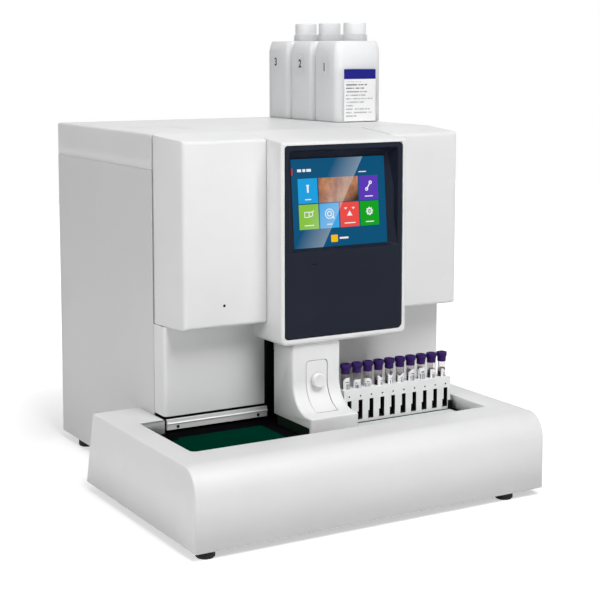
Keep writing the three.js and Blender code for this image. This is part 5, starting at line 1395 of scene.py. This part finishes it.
class BottlesOperator(bpy.types.Operator):
    """Make the three reagent bottles with their caps, number stickers and the front label"""
    bl_idname = "analyzer.bottles"
    bl_label = "Reagent bottles"

    def execute(self, context):
        for number in (1, 2, 3):
            self.bottle(number)
            self.cap(number)
            self.sticker(number)
        self.label()
        return {"FINISHED"}

    def bottle(self, number):
        """Rounded rectangles stacked upward: a soft foot, upright walls, and shoulders that draw
        in by a power of the height, then a stepped collar and a threaded neck."""
        node = f"reagent_bottle_{number}"
        xs, ys, (bottom, _) = spans(node)
        shoulder, corner, fall = bottom + 0.142, 0.012, 0.019
        foot, edge = 0.003, 0.002

        def ring(z, by_x, by_y):
            return in_plane(rounded_loop(xs - by_x * GROW, ys - by_y * GROW, corner, 9), Z, z)

        rings = [ring(bottom + drop, edge_inset(drop, foot), edge_inset(drop, foot))
                 for drop in edge_drops(foot, 5)]
        for drop in (*np.linspace(fall, 0.0024, 12), *edge_drops(edge, 6)[::-1]):
            slant, inset = (1 - min(drop / fall, 1)) ** 1.4, edge_inset(drop, edge)
            rings.append(ring(shoulder - drop, 0.0052 * slant + inset, 0.0022 * slant + inset))
        form = Form().stack(rings)
        lip, collar = 0.0012, 0.0225
        profile = [(0, shoulder - 0.004), (collar, shoulder - 0.004), (collar, shoulder + 0.0105)]
        profile += [(collar - edge_inset(d, lip), shoulder + 0.012 - d)
                    for d in edge_drops(lip, 5)[::-1]]
        turns = np.linspace(0, 1, 33)
        thread = 0.0133 + 0.0006 * np.cos(turns * 8 * np.pi)
        profile += list(zip(thread, shoulder + 0.0125 + turns * 0.0145))
        profile += [(0.0128, shoulder + 0.028), (0, shoulder + 0.028)]
        form.turned(profile, middle(f"bottle_cap_{number}", X, Y), Z, 72)
        build(f"bottle_{number}_body", form, ["bottle_white"], f"bottle_{number}",
              "bottle_plastic", [node], sharp=40)

    def cap(self, number):
        """The cap's ribbed skirt is a turned profile whose radius waves round the axis."""
        node = f"bottle_cap_{number}"
        centre, xs, (z0, z1) = middle(node, X, Y), span(node, X), span(node, Z)
        radius, bore, edge = (xs[1] - xs[0]) / 2, 0.0146, 0.0018
        profile = [(bore, z0), (radius - 0.0006, z0), (radius - 0.0002, z0 + 0.0005),
                   (radius, z0 + 0.0012), (radius, z1 - 0.003)]
        profile += [(radius - 0.0002 - edge_inset(d, edge), z1 - d)
                    for d in edge_drops(edge, 6)[::-1]]
        profile += [(radius - 0.0045, z1), (radius - 0.0055, z1 - 0.0004), (0, z1 - 0.0004)]
        form = Form().turned(profile, centre, Z, 240, waves=details().cap_ribs, wave=0.00035)
        form.turned([(0, z1 - 0.0037), (bore, z1 - 0.0037), (bore, z0)], centre, Z, 240)
        build(f"bottle_{number}_cap", form, ["cap_white"], f"cap_{number}", "cap_plastic", [node],
              sharp=45)

    def sticker(self, number):
        """A small white sticker on the bottle's left face, with the bottle's number."""
        xs, ys, zs = spans(f"reagent_bottle_{number}")
        across, up = ((0.0428, 0.0961), (0.042, 0.1017), (0.0463, 0.1042))[number - 1]
        x, y, z = xs[0], ys[0] + across, zs[0] + up
        paper = Form().soft_box((x - 0.00015, x + 0.0003), y + 0.0102 * GROW, z + 0.0175 * GROW,
                                0.0001, X, 0.001)
        build(f"bottle_{number}_sticker", paper, ["sticker"], f"bottle_{number}", "label_paper")
        mesh = self.numeral(str(number))
        flat = read(mesh.vertices, "co", 3)
        moved = np.column_stack([np.full(len(flat), x - 0.0002), y - flat[:, 0],
                                 z - 0.0066 + flat[:, 1]])
        mesh.vertices.foreach_set("co", moved.ravel())
        mesh.update()
        if read(mesh.polygons, "normal", 3)[:, X].sum() > 0:
            mesh.flip_normals()
        hang(f"bottle_{number}_numeral", mesh, ["ink"], f"bottle_{number}", "label_paper")

    def numeral(self, body):
        """The flat mesh of a written number."""
        text = bpy.data.curves.new("number", "FONT")
        text.body = body
        text.size = 0.0195
        text.align_x = "CENTER"
        text.offset = 0.0008
        writer = bpy.data.objects.new("number", text)
        bpy.context.scene.collection.objects.link(writer)
        bpy.context.view_layer.update()
        drawn = writer.evaluated_get(bpy.context.evaluated_depsgraph_get())
        mesh = bpy.data.meshes.new_from_object(drawn)
        bpy.data.objects.remove(writer)
        return mesh

    def label(self):
        """The front label of the first bottle: a flat slip just proud of the wall."""
        d = details()
        xs, (face, _), zs = spans("reagent_bottle_1")
        x0, z0 = xs[0] + 0.0146, zs[0] + 0.0018
        loop = rounded_loop((x0, x0 + d.label_width), (z0, z0 + d.label_height), 0.0008, 4)
        uvs = (loop - [x0, z0]) / [d.label_width, d.label_height]
        form = Form().stack([in_plane(loop, Y, face + 0.0002), in_plane(loop, Y, face - 0.00015)],
                            uvs=np.vstack([uvs, uvs]))
        build("bottle_front_label", form, ["bottle_label"], "bottle_1", "label_paper")


class StageOperator(bpy.types.Operator):
    """Set the floor, the soft lamps, the white surroundings and the camera"""
    bl_idname = "analyzer.stage"
    bl_label = "Stage"

    aim = np.array([0.0, -0.1, 0.3])

    def execute(self, context):
        scene = bpy.context.scene
        scene.view_settings.view_transform = "Standard"
        self.floor(scene)
        self.surroundings(scene)
        for name, place, size, power in (("front_lamp", (0.1, -2.2, 3.0), 2.0, 84),
                                         ("side_lamp", (-3.2, -0.6, 1.6), 2.0, 41),
                                         ("top_lamp", (0.0, -0.6, 3.2), 2.4, 13),
                                         ("low_lamp", (1.0, -3.1, 1.0), 1.6, 13),
                                         ("rear_lamp", (1.2, 2.6, 1.8), 2.0, 3)):
            self.lamp(scene, name, place, size, power)
        camera = bpy.data.objects.new("camera", bpy.data.cameras.new("camera"))
        camera.data.sensor_width = 36
        camera.data.lens = 86.5
        camera.data.shift_y = -0.15
        camera.location = (-1.12921, -2.04623, 0.6928)
        camera.rotation_euler = (math.radians(90 - 6.412), 0, math.radians(-30.309))
        scene.collection.objects.link(camera)
        scene.camera = camera
        return {"FINISHED"}

    def floor(self, scene):
        """Pale floor that keeps the object's shadow and adds white of its own, more farther out."""
        steps = np.linspace(-4, 4, 9)
        form = Form().grid(np.stack(np.broadcast_arrays(steps, steps[:, None], 0.0), axis=-1))
        mesh = bpy.data.meshes.new("floor")
        mesh.from_pydata(np.vstack(form.points).tolist(), [], form.faces)
        floor = bpy.data.objects.new("floor", mesh)
        scene.collection.objects.link(floor)
        material = bpy.data.materials.new("floor_white")
        material.use_nodes = True
        nodes = Nodes(material.node_tree)
        place = nodes.node("TexCoord").outputs["Object"]
        reach = nodes.node("VectorMath", {"operation": "LENGTH"}, _0=place).outputs["Value"]
        glow = nodes.math("MULTIPLY", self.seen(nodes), nodes.ranged(reach, 0.5, 1.0, 0.45, 1.0))
        nodes.fill(nodes.tree.nodes["Principled BSDF"], {
            "Base Color": (0.9, 0.9, 0.9, 1), "Roughness": 0.9, "Specular IOR Level": 0.1,
            "Emission Color": (1, 1, 1, 1), "Emission Strength": glow})
        mesh.materials.append(material)

    def seen(self, nodes):
        """1 for camera, glossy and transmission rays, else 0."""
        path = nodes.node("LightPath").outputs
        total = path["Is Camera Ray"]
        for kind in ("Is Glossy Ray", "Is Transmission Ray"):
            total = nodes.math("MAXIMUM", total, path[kind])
        return total

    def surroundings(self, scene):
        """White behind the object for rays that are seen, and a faint light for all others."""
        world = bpy.data.worlds.new("surroundings")
        scene.world = world
        world.use_nodes = True
        nodes = Nodes(world.node_tree)
        faint = nodes.tree.nodes["Background"]
        nodes.fill(faint, {"Color": (1, 1, 1, 1), "Strength": 0.02})
        white = nodes.node("Background", Color=(1, 1, 1, 1), Strength=1.0)
        both = nodes.node("MixShader", _0=self.seen(nodes), _1=faint.outputs[0],
                          _2=white.outputs[0])
        nodes.fill(nodes.tree.nodes["World Output"], {"Surface": both.outputs[0]})

    def lamp(self, scene, name, place, size, power):
        data = bpy.data.lights.new(name, "AREA")
        data.shape = "DISK"
        data.size = size
        data.energy = power
        lamp = bpy.data.objects.new(name, data)
        lamp.location = place
        way = self.aim - place
        flat = math.hypot(way[0], way[1])
        lamp.rotation_euler = (math.atan2(flat, -way[2]), 0, -math.atan2(way[0], way[1]))
        scene.collection.objects.link(lamp)


OPERATORS = (FinishesOperator, TrayOperator, TowerOperator, DoorsOperator, ConsoleOperator,
             ScreenOperator, ColumnOperator, RackOperator, BottlesOperator, StageOperator)


class AnalyzerPanel(bpy.types.Panel):
    """Lists the pieces and their sizes and colours in the sidebar"""
    bl_idname = "ANALYZER_PT_pieces"
    bl_label = "Analyzer"
    bl_space_type = "VIEW_3D"
    bl_region_type = "UI"
    bl_category = "Analyzer"

    def draw(self, context):
        for operator in OPERATORS:
            self.layout.operator(operator.bl_idname)
        for group in (sizes(), details(), colours()):
            box = self.layout.box()
            for name in group.bl_rna.properties.keys():
                if name not in ("rna_type", "name"):
                    box.prop(group, name)


CLASSES = (CasingSizes, DetailSizes, FinishColours, *OPERATORS, AnalyzerPanel)


def register():
    for item in CLASSES:
        bpy.utils.register_class(item)
    scene = bpy.types.Scene
    scene.analyzer_casings = bpy.props.PointerProperty(type=CasingSizes)
    scene.analyzer_details = bpy.props.PointerProperty(type=DetailSizes)
    scene.analyzer_colours = bpy.props.PointerProperty(type=FinishColours)


def unregister():
    scene = bpy.types.Scene
    del scene.analyzer_casings, scene.analyzer_details, scene.analyzer_colours
    for item in reversed(CLASSES):
        bpy.utils.unregister_class(item)


def main():
    register()
    for operator in OPERATORS:
        group, name = operator.bl_idname.split(".")
        getattr(getattr(bpy.ops, group), name)()


if __name__ == "__main__":
    main()
